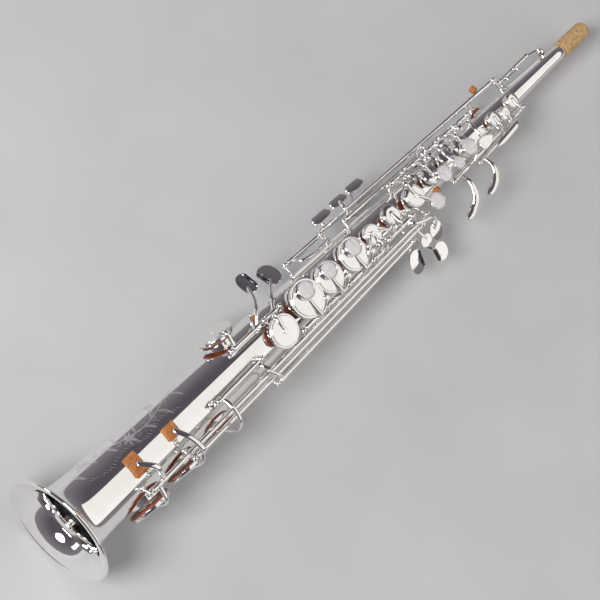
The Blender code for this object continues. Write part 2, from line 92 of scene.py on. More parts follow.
# Hinge axes run from the bell end to the neck end.  A cup is (u, angle, pad radius).  Arms,
# blades, plates and cups are given with the key closed on its tone hole; feet as they rest.
KEYS = {
    "low_bflat": {
        "axis": ((66, -25.5, 20), (402, -20.3, 10)), "cup": (68, 105, 17), "open": 8,
        "arms": [[(390, 0, 0), (390.3, -19.4, -1), (393, -30, -9), (398, -44, -8.2)]],
        "feet": [[(79, 0, 0), (76, -15, 31), (68, -4, 28.9)]],
        "plates": [((399.5, -47, -7.5), (0, -0.6, 0.8), 7.5, 8)]},
    "low_b": {
        "axis": ((112, -30, 15.5), (396, -24, 6)), "cup": (108, 103, 15.5), "open": 8,
        "arms": [[(392, 0, 0), (392.5, -29, 3), (394, -33, 0.5)]],
        "feet": [[(116, 0, 0), (115, -31, 24.5), (112, -18, 29.5), (107, -5, 27.9)]],
        "plates": [((393.5, -34, -0.5), (0, -0.6, 0.8), 6.3, 5.2)]},
    "low_csharp": {
        "axis": ((150, -12.5, 23.6), (198, -11.5, 22)), "cup": (150, 100, 13), "lift": 8,
        "over": [(155, -24, 25.5), (154, -35, 20), (153, -37.5, 9)],
        "arms": [[(196, 0, 0), (197, -16, 24.5), (199.5, -22, 25.8)]]},
    "low_csharp_lever": {
        "axis": ((206, -33.4, 11), (380, -28.4, 2)), "lift": 8,
        "arms": [[(376, 0, 0), (376, -35, -1), (377, -41, -4)],
                 [(208, 0, 0), (205, -30.5, 19.5), (199.5, -22, 21.6)]],
        "plates": [((376.5, -42, -4), (0, -0.6, 0.8), 8, 11)]},
    "low_c": {
        "axis": ((190, 7.5, 22.4), (222.5, 7.4, 21.2)), "cup": (192, -70, 14.5), "open": 9,
        "arms": [[(218, 0, 0), (224, 16, 23), (234, 24, 16), (240, 31, 8.5)]],
        "plates": [((243, 35, 5.5), (0, 0.4, 0.9), 7, 9.5)]},
    "low_eflat": {
        "axis": ((228.5, 7.4, 21), (241.5, 7.3, 20.5)), "cup": (231, 20, 12.8), "lift": 8,
        "arms": [[(238, 0, 0), (244, 15, 20), (253, 22, 14), (261, 27, 9)]],
        "plates": [((264, 30, 7.5), (0, 0.4, 0.9), 8.5, 10)]},
    "d": {"axis": ((250, -18.5, 16.9), (274, -18.1, 16.2)), "cup": (263, 4, 14.9), "open": 9,
          "pearls": [((264, 4.5, 29), (0, 0, 1), 7.4, (264, 3, 25))]},
    "e": {"axis": ((280, -18, 16), (302, -17.7, 15.4)), "cup": (291, 4, 12.2), "open": 9,
          "pearls": [((291.5, 3.2, 27.8), (0, 0, 1), 7.0, (291.5, 2, 24))]},
    "f": {"axis": ((308, -17.6, 15.2), (333, -17.2, 14.5)), "cup": (321, 4, 13), "open": 9,
          "pearls": [((322, 3.2, 26.8), (0, 0, 1), 7.3, (322, 2, 23))]},
    "fsharp": {"axis": ((339, -17.1, 14.3), (350, -16.9, 14)), "cup": (346.5, 2, 7.8), "open": 9},
    "g_sharp": {
        "axis": ((360, -14, 18.5), (386, -13.5, 17.5)), "cup": (374, 2, 7.8), "lift": 8,
        "arms": [[(381, 0, 0), (384, -19, 20.5), (394, -23, 19.5), (403, -25, 17), (409, -29.5, 8),
                  (409, -33, -1)]],
        "plates": [((409.5, -34.5, -2.5), (0, -0.6, 0.8), 7, 9)]},
    "g": {"axis": ((398, 16.8, 12.6), (411, 16.6, 12.3)), "cup": (401, 12, 9), "open": 8,
          "pearls": [((412.5, -20, 18.5), (0, -0.2, 0.98), 7.3, (403, -7, 19))]},
    "a": {"axis": ((418, 16.4, 12.2), (438, 16.1, 11.7)), "cup": (427, 3, 7.6), "open": 8,
          "pearls": [((434.5, -8.5, 21.5), (0, -0.1, 1), 7.2, (428, -1, 19.3))]},
    "bis": {"axis": ((445, 15.9, 11.6), (456, 15.7, 11.4)), "cup": (450, -4, 6), "open": 8,
            "pearls": [((452.5, -10.5, 20.8), (0, -0.1, 1), 5.6, (450, 1, 18))]},
    "b": {"axis": ((463, 15.6, 11.3), (479, 15.3, 11)), "cup": (470, 6, 8), "open": 8,
          "pearls": [((471, -7, 21), (0, -0.1, 1), 7.4, (471, -3, 18))]},
    "front_f": {
        "axis": ((486, 15.1, 10.8), (497, 14.9, 10.5)), "lift": 8,
        "arms": [[(491, 0, 0), (490, 7, 19.5), (488.5, -9, 20.3)]],
        "plates": [((489, -11.5, 20.5), (0, -0.15, 1), 8.3, 4.5)]},
    "palm_d": {
        "axis": ((452, -17, 5), (517, -13.5, 3.5)), "cup": (514, 10, 5.6), "lift": 8,
        "blades": [[(459, -18, 6), (459, -27, 8), (455, -37, 6), (446, -44, 1), (437, -46.5, 0)]]},
    "palm_eflat": {
        "axis": ((486, -20.5, 2), (529, -17.5, 1)), "cup": (527.5, 25, 5.4), "lift": 8,
        "blades": [[(489, -21, 3), (489, -30, 5), (484, -38, 3), (476, -42.5, 0), (469, -43.5, -1)]]},
    "palm_f": {
        "axis": ((534, -13, 6), (548, -12.3, 5.5)), "cup": (541, 8, 5.8), "lift": 8,
        "blades": [[(537, -13.4, 7), (534, -15, 11), (529, -18, 15), (515, -20, 15.5), (498, -21, 14.5)]]},
    "high_e": {
        "axis": ((330, 27.5, 1.5), (548, 21, 1)), "cup": (520, -125, 5.8), "lift": 8,
        "arms": [[(334, 0, 0), (335, 33, 1.6)]],
        "plates": [((336, 35.5, 4), (0, 0.5, 0.87), 10, 4.5)]},
    "side_c": {
        "axis": ((350, 20.5, 6), (482, 16.4, 4.6)), "cup": (475, -125, 6), "lift": 8,
        "over": [(475, 18.6, -1), (475, 19.3, -7)],
        "arms": [[(353, 0, 0), (354, 28, 9.5), (357, 34.5, 5)]],
        "plates": [((357.5, 35.5, 4), (0, 0.5, 0.87), 9, 4.5)]},
    "side_bflat": {
        "axis": ((368, 26, -6), (455, 23.5, -5.5)), "cup": (447, -125, 6.2), "lift": 8,
        "arms": [[(373, 0, 0), (374.3, 32.4, -2.3), (376.4, 34.6, 2.6)]],
        "plates": [((378, 35.5, 4), (0, 0.5, 0.87), 9.5, 4.5)]},
    "high_fsharp_lever": {
        "axis": ((283, 27, 7), (320, 25.8, 6)), "lift": 6,
        "arms": [[(288, 0, 0), (290, 21, 15), (300, 18.5, 16.5), (312, 18.5, 16.5), (320, 19.5, 15)]]},
    "octave_thumb": {
        "axis": ((468, -8, -15), (500, -7.5, -14)), "lift": 6,
        "arms": [[(475, 0, 0), (471, -3, -17.5)]],
        "plates": [((462, 0, -17.8), (0, 0, -1), 9.5, 5.2)]},
    "body_octave": {"axis": ((506, -7.4, -13.7), (522, -7.2, -13.2)), "cup": (514, 176, 3), "lift": 8},
    "neck_octave": {"axis": ((560, 16, -4), (598, 16.5, -4)), "cup": (607, -80, 3), "lift": 8},
}

# Ends of hinges, as (key, end), that have no post, and those whose post stands at another angle.
UNPOSTED_ENDS = {("neck_octave", 1)}
POST_ANGLES = {("palm_eflat", 0): 115, ("palm_eflat", 1): 115, ("low_csharp_lever", 0): 112}

# Cork strips glued on the tube under the feet of the two bell keys: (u, angle, length, width).
BUMPERS = {"low_bflat_bumper": (68, 8, 11, 38), "low_b_bumper": (106.5, 9, 11, 26)}
BUMPER_THICKNESS = 2.2


def tube_radius(u):
    """Outer radius of the tube and bell at the distance u from the rim."""
    cone = NECK_RADIUS + CONE_SLOPE * max(0.0, CONE_END - u)
    flare = (BELL_RADIUS - NECK_RADIUS - CONE_SLOPE * CONE_END) * math.exp(-u / FLARE_LENGTH)
    return cone + flare


def outward(angle):
    """Unit vector away from the tube's axis at an angle round it, in degrees."""
    a = math.radians(angle)
    return Vector((0.0, -math.sin(a), math.cos(a)))


def frame_from(normal, along=(1.0, 0.0, 0.0)):
    """Rotation whose z column is the normal and whose x column leans along the tube."""
    z = Vector(normal).normalized()
    x = (Vector(along) - Vector(along).dot(z) * z).normalized()
    return Matrix((x, z.cross(x), z)).transposed()


def hinge(key):
    """Ends of a key's hinge tube and its unit direction."""
    low, high = (Vector(p) for p in key["axis"])
    return low, high, (high - low).normalized()


def on_hinge(key, u):
    low, high, _ = hinge(key)
    share = min(max((u - low.x) / (high.x - low.x), 0.02), 0.98)
    return low.lerp(high, share)


def cup_seat(cup):
    """Point on the tube's axis under a cup, its outward direction and its chimney's top radius."""
    u, angle, _ = cup
    return Vector((u, 0.0, 0.0)), outward(angle), tube_radius(u) + CHIMNEY_HEIGHT


def rest_turn(key):
    """Turn, in millimetres, that takes an open key from closed to where it rests."""
    if "open" not in key:
        return Matrix.Identity(4)
    low, _, run = hinge(key)
    base, n, seat = cup_seat(key["cup"])
    closes = -1.0 if run.cross(base + n * seat - low).dot(n) > 0 else 1.0
    turn = Matrix.Rotation(math.radians(-key["open"] * closes), 4, run)
    return Matrix.Translation(low) @ turn @ Matrix.Translation(-low)


def find_placement():
    """Matrix from the instrument's millimetres to the frame's metres, tied to a packed joint."""
    tilt = Matrix.Rotation(TILT, 4, "Y") @ Matrix.Scale(MM, 4)
    joint = next(j for j in frame["joints"] if j["name"] == "d_hinge")
    low, high, _ = hinge(KEYS["d"])
    return Matrix.Translation(Vector(joint["pos_m"]) - tilt @ low.lerp(high, 0.5)) @ tilt


PLACEMENT = find_placement()


def eased(profile, radius=0.3, steps=3):
    """A profile of (radius, height) points with its inner corners rounded."""
    points = [Vector(p) for p in profile]
    line = [points[0]]
    for a, b, c in zip(points, points[1:], points[2:]):
        cut = min(radius, (a - b).length * 0.45, (c - b).length * 0.45)
        before = b + (a - b).normalized() * cut
        after = b + (c - b).normalized() * cut
        for k in range(steps + 1):
            t = k / steps
            line.append((1 - t) ** 2 * before + 2 * t * (1 - t) * b + t * t * after)
    line.append(points[-1])
    return [tuple(p) for p in line]


def spline(points, steps=6):
    """Smooth line through points, with tangents weighted by the gaps between them."""
    points = [Vector(p) for p in points]
    gaps = [(b - a).length for a, b in zip(points, points[1:])]
    slopes = [(b - a) / g for a, b, g in zip(points, points[1:], gaps)]
    tangents = [slopes[0]]
    for s, t, g, h in zip(slopes, slopes[1:], gaps, gaps[1:]):
        tangents.append((s * h + t * g) / (g + h))
    tangents.append(slopes[-1])
    line = []
    for a, b, p, q, g in zip(points, points[1:], tangents, tangents[1:], gaps):
        for k in range(steps):
            t = k / steps
            line.append((2 * t ** 3 - 3 * t ** 2 + 1) * a + (t ** 3 - 2 * t ** 2 + t) * g * p
                        + (3 * t ** 2 - 2 * t ** 3) * b + (t ** 3 - t ** 2) * g * q)
    line.append(points[-1])
    return line


class Shape:
    """Closed forms drawn in the instrument's millimetres, gathered for one mesh."""

    def __init__(self):
        self.points = []
        self.faces = []

    def skin(self, rings, closed=False):
        """Quads between rings of points, capped at the ends; a ring of one point is a tip."""
        starts = []
        for ring in rings:
            starts.append((len(self.points), len(ring)))
            self.points += ring
        pairs = list(zip(starts, starts[1:]))
        if closed:
            pairs.append((starts[-1], starts[0]))
        for (a, first), (b, second) in pairs:
            for i in range(max(first, second)):
                j = (i + 1) % max(first, second)
                if first == 1:
                    self.faces.append((a, b + j, b + i))
                elif second == 1:
                    self.faces.append((a + i, a + j, b))
                else:
                    self.faces.append((a + i, a + j, b + j, b + i))
        if not closed:
            for (start, count), turned_over in ((starts[0], True), (starts[-1], False)):
                loop = list(range(start, start + count))
                if count > 2:
                    self.faces.append(loop[::-1] if turned_over else loop)

    def turned(self, profile, centre, rotation, sides=32, closed=False):
        """Form turned about the z column of a rotation from (radius, height) points."""
        rings = []
        for radius, height in profile:
            ring = []
            for k in range(sides if radius > 1e-4 else 1):
                a = 2.0 * math.pi * k / sides
                point = Vector((radius * math.cos(a), radius * math.sin(a), height))
                ring.append(Vector(centre) + rotation @ point)
            rings.append(ring)
        self.skin(rings, closed)

    def bar(self, points, wide, thick, side=None, sides=12, steps=6):
        """Smooth round-ended bar; wide and thick are half sizes at its start and end."""
        line = spline(points, steps)
        count = len(line) - 1
        guide = Vector(side) if side else (line[1] - line[0]).orthogonal()
        rings = []
        for i, point in enumerate(line):
            run = (line[min(i + 1, count)] - line[max(i - 1, 0)]).normalized()
            across = (guide - guide.dot(run) * run).normalized()
            guide = guide if side else across
            up = run.cross(across)
            share = i / count
            w = wide[0] + (wide[1] - wide[0]) * share
            h = thick[0] + (thick[1] - thick[0]) * share
            sizes = [(1.0, 0.0)]
            if i == 0:
                sizes = [(0.0, -1.0), (0.55, -0.83), (0.85, -0.5), (1.0, 0.0)]
            elif i == count:
                sizes = [(1.0, 0.0), (0.85, 0.5), (0.55, 0.83), (0.0, 1.0)]
            for scale, push in sizes:
                middle = point + run * push * min(w, h)
                if scale == 0.0:
                    rings.append([middle])
                    continue
                ring = []
                for k in range(sides):
                    a = 2.0 * math.pi * k / sides
                    ring.append(middle + across * (w * scale * math.cos(a)) + up * (h * scale * math.sin(a)))
                rings.append(ring)
        self.skin(rings)

    def plate(self, centre, normal, outline, thickness=PLATE_THICKNESS, crown=0.35, edge=0.35):
        """Touch piece with a rounded edge and a slight crown, from an outline about its centre."""
        rotation = frame_from(normal)
        half = thickness / 2
        reach = max(math.hypot(x, y) for x, y in outline)
        inset = 1.0 - edge / reach
        rings = []
        for scale, height in ((inset, -half), (1.0, -half + edge), (1.0, half - edge), (inset, half),
                              (0.75, half + crown * 0.5), (0.45, half + crown * 0.85), (0.2, half + crown)):
            rings.append([Vector(centre) + rotation @ Vector((x * scale, y * scale, height))
                          for x, y in outline])
        self.skin(rings)


def ball(radius):
    """Half circle, from pole to pole, that turns into a ball."""
    angles = [math.radians(22.5 * k - 90.0) for k in range(9)]
    return [(radius * math.cos(a), radius * math.sin(a)) for a in angles]


def smooth(mesh, crease=38.0):
    mesh.shade_smooth()
    mesh.set_sharp_from_angle(angle=math.radians(crease))


def placed(name, shape, turn=None):
    """Object in the frame's metres from a shape, with its faces turned outward."""
    mesh = bpy.data.meshes.new(name)
    mesh.from_pydata(shape.points, [], shape.faces)
    bm = bmesh.new()
    bm.from_mesh(mesh)
    bmesh.ops.recalc_face_normals(bm, faces=bm.faces[:])
    bm.to_mesh(mesh)
    bm.free()
    mesh.transform(PLACEMENT @ turn if turn else PLACEMENT)
    return linked(name, mesh)


def linked(name, data):
    """New object in the scene."""
    item = bpy.data.objects.new(name, data)
    bpy.context.scene.collection.objects.link(item)
    return item


def piece(name, shape, look, body="root", stands_for=(), turn=None, crease=38.0):
    """Turn a shape into an object that rides on a body."""
    item = placed(name, shape, turn)
    smooth(item.data, crease)
    item.data.materials.append(look)
    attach(item, body)
    if stands_for:
        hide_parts(*stands_for)
    return item


# Materials

class Look:
    """A node material on the object's own coordinates, in millimetres."""

    def __init__(self, name, colour, roughness, metallic=0.0, **constant):
        self.made = bpy.data.materials.new(name)
        self.made.use_nodes = True
        self.tree = self.made.node_tree
        self.shader = self.tree.nodes["Principled BSDF"]
        self.shader.inputs["Base Color"].default_value = (*colour, 1.0)
        self.shader.inputs["Roughness"].default_value = roughness
        self.shader.inputs["Metallic"].default_value = metallic
        for socket, value in constant.items():
            self.shader.inputs[socket.replace("_", " ")].default_value = value
        place = self.tree.nodes.new("ShaderNodeTexCoord")
        self.scaled = self.tree.nodes.new("ShaderNodeVectorMath")
        self.scaled.operation = "SCALE"
        self.scaled.inputs["Scale"].default_value = 1.0 / MM
        self.tree.links.new(place.outputs["Object"], self.scaled.inputs[0])

    def stretched(self, x, y, z):
        """Coordinates stretched by a factor on each axis."""
        node = self.tree.nodes.new("ShaderNodeVectorMath")
        node.operation = "MULTIPLY"
        node.inputs[1].default_value = (x, y, z)
        self.tree.links.new(self.scaled.outputs[0], node.inputs[0])
        return node.outputs[0]

    def noise(self, scale, detail=3.0, vector=None, distortion=0.0):
        node = self.tree.nodes.new("ShaderNodeTexNoise")
        node.inputs["Scale"].default_value = scale
        node.inputs["Detail"].default_value = detail
        node.inputs["Distortion"].default_value = distortion
        self.tree.links.new(vector or self.scaled.outputs[0], node.inputs["Vector"])
        return node.outputs["Fac"]

    def cells(self, scale, feature="F1"):
        node = self.tree.nodes.new("ShaderNodeTexVoronoi")
        node.feature = feature
        node.inputs["Scale"].default_value = scale
        self.tree.links.new(self.scaled.outputs[0], node.inputs["Vector"])
        return node.outputs["Distance"]

    def ramp(self, source, *stops):
        """Colours or greys at positions along a source."""
        node = self.tree.nodes.new("ShaderNodeValToRGB")
        while len(node.color_ramp.elements) < len(stops):
            node.color_ramp.elements.new(0.5)
        for element, (position, colour) in zip(node.color_ramp.elements, stops):
            element.position = position
            element.color = (*colour, 1.0) if isinstance(colour, tuple) else (colour, colour, colour, 1.0)
        self.tree.links.new(source, node.inputs["Fac"])
        return node.outputs["Color"]

    def mixed(self, first, second, share, blend="MIX"):
        node = self.tree.nodes.new("ShaderNodeMix")
        node.data_type = "RGBA"
        node.blend_type = blend
        if isinstance(share, float):
            node.inputs["Factor"].default_value = share
        else:
            self.tree.links.new(share, node.inputs["Factor"])
        self.tree.links.new(first, node.inputs["A"])
        self.tree.links.new(second, node.inputs["B"])
        return node.outputs["Result"]

    def put(self, socket, source):
        self.tree.links.new(source, self.shader.inputs[socket])

    def bump(self, source, depth, strength=1.0):
        """Relief of a depth in metres."""
        node = self.tree.nodes.new("ShaderNodeBump")
        node.inputs["Strength"].default_value = strength
        node.inputs["Distance"].default_value = depth
        self.tree.links.new(source, node.inputs["Height"])
        self.tree.links.new(node.outputs["Normal"], self.shader.inputs["Normal"])


def make_silver():
    """Polished silver plate: nearly white, with faint clouding and fine wiping marks."""
    look = Look("silver_plate", (0.95, 0.94, 0.92), 0.06, 1.0)
    cloud = look.noise(0.035, 4.0)
    look.put("Base Color", look.ramp(cloud, (0.3, (0.90, 0.885, 0.86)), (0.55, (0.955, 0.945, 0.93)),
                                     (0.8, (0.97, 0.965, 0.965))))
    marks = look.noise(0.9, 5.0, look.stretched(0.08, 1.0, 1.0))
    look.put("Roughness", look.ramp(marks, (0.35, 0.035), (0.7, 0.085)))
    return look.made


def make_satin():
    """Cut lines of the engraving: frosted silver."""
    look = Look("engraved_silver", (0.9, 0.88, 0.85), 0.5, 1.0)
    grain = look.noise(6.0, 3.0)
    look.put("Base Color", look.ramp(grain, (0.35, (0.78, 0.76, 0.73)), (0.65, (0.97, 0.96, 0.95))))
    look.put("Roughness", look.ramp(grain, (0.3, 0.38), (0.7, 0.62)))
    return look.made


def make_bore():
    """Inside of the tube: drawn metal, slightly duller than the outside."""
    look = Look("bore_silver", (0.82, 0.8, 0.77), 0.12, 1.0)
    lines = look.noise(1.2, 4.0, look.stretched(0.05, 1.0, 1.0))
    look.put("Base Color", look.ramp(lines, (0.3, (0.72, 0.70, 0.66)), (0.7, (0.88, 0.87, 0.85))))
    look.put("Roughness", look.ramp(lines, (0.3, 0.07), (0.7, 0.2)))
    return look.made


def make_steel():
    """Blued needle springs."""
    look = Look("blued_steel", (0.12, 0.15, 0.24), 0.25, 1.0)
    heat = look.noise(0.25, 2.0)
    look.put("Base Color", look.ramp(heat, (0.3, (0.09, 0.11, 0.2)), (0.7, (0.22, 0.22, 0.3))))
    return look.made


def make_leather():
    """Pad leather: reddish brown kid with pores and pale creases."""
    look = Look("pad_leather", (0.36, 0.13, 0.07), 0.5, Coat_Weight=0.12, Coat_Roughness=0.4)
    tone = look.ramp(look.noise(0.3, 4.0), (0.3, (0.22, 0.05, 0.025)), (0.7, (0.40, 0.115, 0.055)))
    pores = look.cells(3.2)
    look.put("Base Color", look.mixed(tone, look.ramp(pores, (0.0, 0.55), (0.5, 1.0)), 0.7, "MULTIPLY"))
    look.put("Roughness", look.ramp(pores, (0.0, 0.62), (0.6, 0.42)))
    look.bump(pores, 0.00008, 0.8)
    return look.made


def make_cork(name, dark_tone, middle_tone, light_tone):
    """Cork: cells of three tones with darker lenticels and pits."""
    look = Look(name, middle_tone, 0.85)
    cells = look.cells(1.3)
    tone = look.ramp(look.noise(0.35, 6.0), (0.3, dark_tone), (0.55, middle_tone), (0.75, light_tone))
    flecks = look.noise(0.8, 5.0, look.stretched(0.35, 1.0, 1.0), 0.6)
    dark = look.ramp(flecks, (0.30, 0.38), (0.42, 1.0))
    grain = look.ramp(cells, (0.0, 0.82), (0.6, 1.05))
    look.put("Base Color", look.mixed(look.mixed(tone, dark, 0.85, "MULTIPLY"), grain, 0.8, "MULTIPLY"))
    look.put("Roughness", look.ramp(cells, (0.0, 0.95), (0.7, 0.75)))
    look.bump(look.mixed(cells, flecks, 0.6), 0.0002, 0.9)
    return look.made


def make_pearl():
    """Mother of pearl: grey white with drifting lilac, pink and green bands under a clear gloss."""
    look = Look("mother_of_pearl", (0.8, 0.78, 0.8), 0.22, Coat_Weight=0.9, Coat_Roughness=0.04,
                Specular_IOR_Level=0.7)
    waves = look.noise(0.16, 5.0, look.stretched(1.0, 0.45, 0.45), 1.6)
    tint = look.ramp(waves, (0.30, (0.60, 0.55, 0.60)), (0.41, (0.80, 0.74, 0.74)),
                     (0.50, (0.66, 0.65, 0.68)), (0.59, (0.82, 0.82, 0.78)), (0.70, (0.66, 0.58, 0.63)))
    look.put("Base Color", tint)
    look.put("Roughness", look.ramp(waves, (0.3, 0.14), (0.7, 0.3)))
    return look.made


def make_black():
    """Glossy black rollers."""
    look = Look("black_roller", (0.012, 0.012, 0.014), 0.16, Coat_Weight=0.5)
    wear = look.noise(0.8, 4.0)
    look.put("Base Color", look.ramp(wear, (0.35, (0.008, 0.008, 0.01)), (0.7, (0.03, 0.03, 0.034))))
    look.put("Roughness", look.ramp(wear, (0.3, 0.1), (0.7, 0.28)))
    return look.made


SILVER = make_silver()
SATIN = make_satin()
BORE = make_bore()
STEEL = make_steel()
LEATHER = make_leather()
CORK = make_cork("natural_cork", (0.50, 0.29, 0.12), (0.66, 0.42, 0.20), (0.76, 0.53, 0.29))
DARK_CORK = make_cork("waxed_cork", (0.34, 0.12, 0.03), (0.52, 0.20, 0.06), (0.62, 0.28, 0.09))
PEARL = make_pearl()
BLACK = make_black()


# Tube, bell and what is soldered on them

def post_places():
    """(head, standing direction, hinge direction) of each post; close ones are shared."""
    made = []
    for name, key in KEYS.items():
        low, high, run = hinge(key)
        for end, (point, side) in enumerate(((low, -1.0), (high, 1.0))):
            head = point + run * side * (BALL_RADIUS + 0.1 + POST_GAP)
            crowded = any((head - other).length < SHARED_POST for other, _, _ in made)
            if crowded or (name, end) in UNPOSTED_ENDS:
                continue
            n = Vector((0.0, head.y, head.z)).normalized()
            if (name, end) in POST_ANGLES:
                n = outward(POST_ANGLES[name, end])
            made.append((head, n, run * side))
    return made


def outer_line(last=LENGTH):
    """Outside of tube and bell as (radius, distance from the rim) points, roll first."""
    centre = BELL_RADIUS + 1.0 - RIM_ROLL
    roll = []
    for k in range(13):
        a = math.radians(-150.0 + 24.0 * k)
        roll.append((centre + RIM_ROLL * math.cos(a), RIM_ROLL * (1.0 + math.sin(a))))
    distances = [2.6 + 0.4 * k for k in range(8)] + [6.5 + 1.2 * k for k in range(20)]
    distances += [32.0 + 5.0 * k for k in range(115)] + [CONE_END]
    flare = [(tube_radius(u), u) for u in distances]
    neck = [(NECK_RADIUS, 615.0), (NECK_RADIUS, CORK_START - 0.6), (NECK_RADIUS - 0.3, CORK_START - 0.2),
            (TENON_RADIUS, CORK_START - 0.2), (TENON_RADIUS, last - 0.3), (TENON_RADIUS - 0.3, last)]
    return roll + flare + neck


def inner_line():
    """Inside of tube and bell from the neck end back to the rim."""
    distances = [CONE_END] + [602.0 - 10.0 * k for k in range(57)]
    distances += [36.0 - 2.0 * k for k in range(13)] + [11.0 - 1.0 * k for k in range(6)]
    distances += [5.4 - 0.5 * k for k in range(10)]
    bore = [(BORE_MIN, LENGTH), (BORE_MIN, CORK_START)]
    return bore + [(tube_radius(u) - (WALL if u > 20.0 else WALL + 0.2), u) for u in distances]


def cut(item, shape):
    """Take a shape away from an object, exactly."""
    cutter = placed("cutter", shape)
    step = item.modifiers.new("holes", "BOOLEAN")
    step.object = cutter
    step.operation = "DIFFERENCE"
    step.solver = "EXACT"
    step.use_self = True
    bpy.context.view_layer.update()
    result = bpy.data.meshes.new_from_object(item.evaluated_get(bpy.context.evaluated_depsgraph_get()))
    item.modifiers.clear()
    item.data = result
    bpy.data.objects.remove(cutter)
    smooth(result)


def make_tube():
    """Tube and bell of one sheet with a rolled rim, and its tone holes cut through."""
    along = frame_from((1.0, 0.0, 0.0), (0.0, 1.0, 0.0))
    shape = Shape()
    outside = outer_line()
    shape.turned(outside + inner_line(), (0.0, 0.0, 0.0), along, TUBE_SIDES, closed=True)
    tube = piece("tube_and_bell", shape, SILVER, stands_for=["body_tube"], crease=50.0)
    tube.data.materials.append(BORE)
    for index, face in enumerate(tube.data.polygons):
        if len(outside) + 8 <= index // TUBE_SIDES < len(outside) + 60:
            face.material_index = 1
    holes = Shape()
    for key in KEYS.values():
        if "cup" in key:
            base, n, seat = cup_seat(key["cup"])
            radius = max(key["cup"][2] * HOLE_SHARE - 0.6, 1.3)
            depth = tube_radius(base.x) * 0.45
            holes.turned([(radius, depth), (radius, seat + 1.0)], base, frame_from(n), 40)
    cut(tube, holes)


def make_chimneys():
    """Drawn tone holes: a thin wall with a rounded seat for the pad."""
    shape = Shape()
    for key in KEYS.values():
        if "cup" not in key:
            continue
        base, n, seat = cup_seat(key["cup"])
        outer = key["cup"][2] * HOLE_SHARE
        inner = max(outer - 1.0, 1.1)
        radius = tube_radius(base.x)
        foot = math.sqrt(max(radius ** 2 - outer ** 2, 1.0)) - 1.0
        wall = [(inner, foot), (outer, foot), (outer, seat - 0.3), (outer - 0.15, seat - 0.05),
                ((outer + inner) / 2, seat), (inner + 0.15, seat - 0.05), (inner, seat - 0.3)]
        shape.turned(wall, base, frame_from(n), 40, closed=True)
    piece("tone_hole_chimneys", shape, SILVER)


def make_posts():
    """Turned posts with a foot flange, a waist ring, a ball head and a slotted pivot screw."""
    posts = Shape()
    screws = Shape()
    for head, n, run in post_places():
        foot = Vector((head.x, 0.0, 0.0)) + n * (tube_radius(head.x) - 0.5)
        reach = (head - foot).length
        neck = max(reach - BALL_RADIUS, 1.6)
        profile = [(2.9, 0.0), (2.9, 0.9), (1.5, 1.5), (1.15, min(2.6, neck * 0.6)), (1.05, neck - 1.1),
                   (1.6, neck - 0.7), (1.6, neck - 0.2), (1.25, neck + 0.25)]
        for k in range(1, 9):
            a = math.radians(-55.0 + 145.0 * k / 8.0)
            profile.append((BALL_RADIUS * math.cos(a), reach + BALL_RADIUS * math.sin(a)))
        profile[-1] = (0.0, reach + BALL_RADIUS)
        posts.turned(eased(profile[:8], 0.25, 2) + profile[8:], foot, frame_from(head - foot), 20)
        turn = frame_from(run, (0.0, 0.3, 1.0))
        screws.turned([(0.0, BALL_RADIUS + 0.5), (1.5, BALL_RADIUS + 0.5), (1.6, BALL_RADIUS + 0.2),
                       (1.6, BALL_RADIUS - 1.0), (0.0, BALL_RADIUS - 1.0)], head, turn, 16)
        screws.turned([(0.0, -BALL_RADIUS - 0.7), (0.9, -BALL_RADIUS - 0.7), (0.9, -1.0), (0.0, -1.0)],
                      head, turn, 12)
    piece("posts", posts, SILVER)
    piece("pivot_screws", screws, SILVER)


# Solder straps under rows of posts: (first u, last u, angle, width)
STRAPS = ((143, 206, 27, 7.0), (184, 247, -19, 7.0), (244, 341, 48, 7.5), (354, 392, 38, 6.5),
          (392, 503, -54, 7.0), (321, 377, -96, 7.0), (276, 328, -75, 6.0), (444, 522, 74, 6.0),
          (480, 535, 96, 5.5), (462, 527, 152, 6.0), (552, 604, -104, 5.5))


def make_straps():
    """Thin straps that follow the tube under the posts, with rounded ends."""
    shape = Shape()
    for first, last, angle, width in STRAPS:
        steps = max(int((last - first) / 6.0), 4)
        rings = []
        for i in range(steps + 1):
            share = i / steps
            ring = []
            for t, lift in [(-1.0, -0.5)] + [(-1.0 + 0.4 * k, 0.55) for k in range(6)] + [(1.0, -0.5)]:
                pull = (width / 2) * (1.0 - math.sqrt(max(1.0 - t * t, 0.0)))
                u = first + pull + (last - first - 2.0 * pull) * share
                radius = tube_radius(u)
                side = math.degrees(t * width / 2.0 / radius)
                ring.append(Vector((u, 0.0, 0.0)) + outward(angle + side) * (radius + lift))
            rings.append(ring)
        shape.skin(rings)
    piece("solder_straps", shape, SILVER)


def make_springs():
    """Needle springs from the posts to a catch on each hinge tube."""
    shape = Shape()
    for key in KEYS.values():
        low, high, run = hinge(key)
        if (high - low).length < 18.0:
            continue
        reach = min((high - low).length * 0.6, 26.0)
        inward = -Vector((0.0, low.y, low.z)).normalized()
        start = low - run * 2.9 + inward * 1.2
        catch = low + run * reach + inward * 2.5
        shape.bar([start, start.lerp(catch, 0.5) + inward * 0.5, catch], (0.3, 0.18), (0.3, 0.18), sides=6)
    piece("needle_springs", shape, STEEL)


# Engraving

ENGRAVED_ANGLE = -45.0
ENGRAVED_HEIGHT = 0.02


def on_tube(u, across):
    """Point on the tube beside the engraving's middle line, across measured round the tube."""
    radius = tube_radius(u)
    turn = ENGRAVED_ANGLE - math.degrees(across / radius)
    return Vector((u, 0.0, 0.0)) + outward(turn) * (radius + ENGRAVED_HEIGHT)


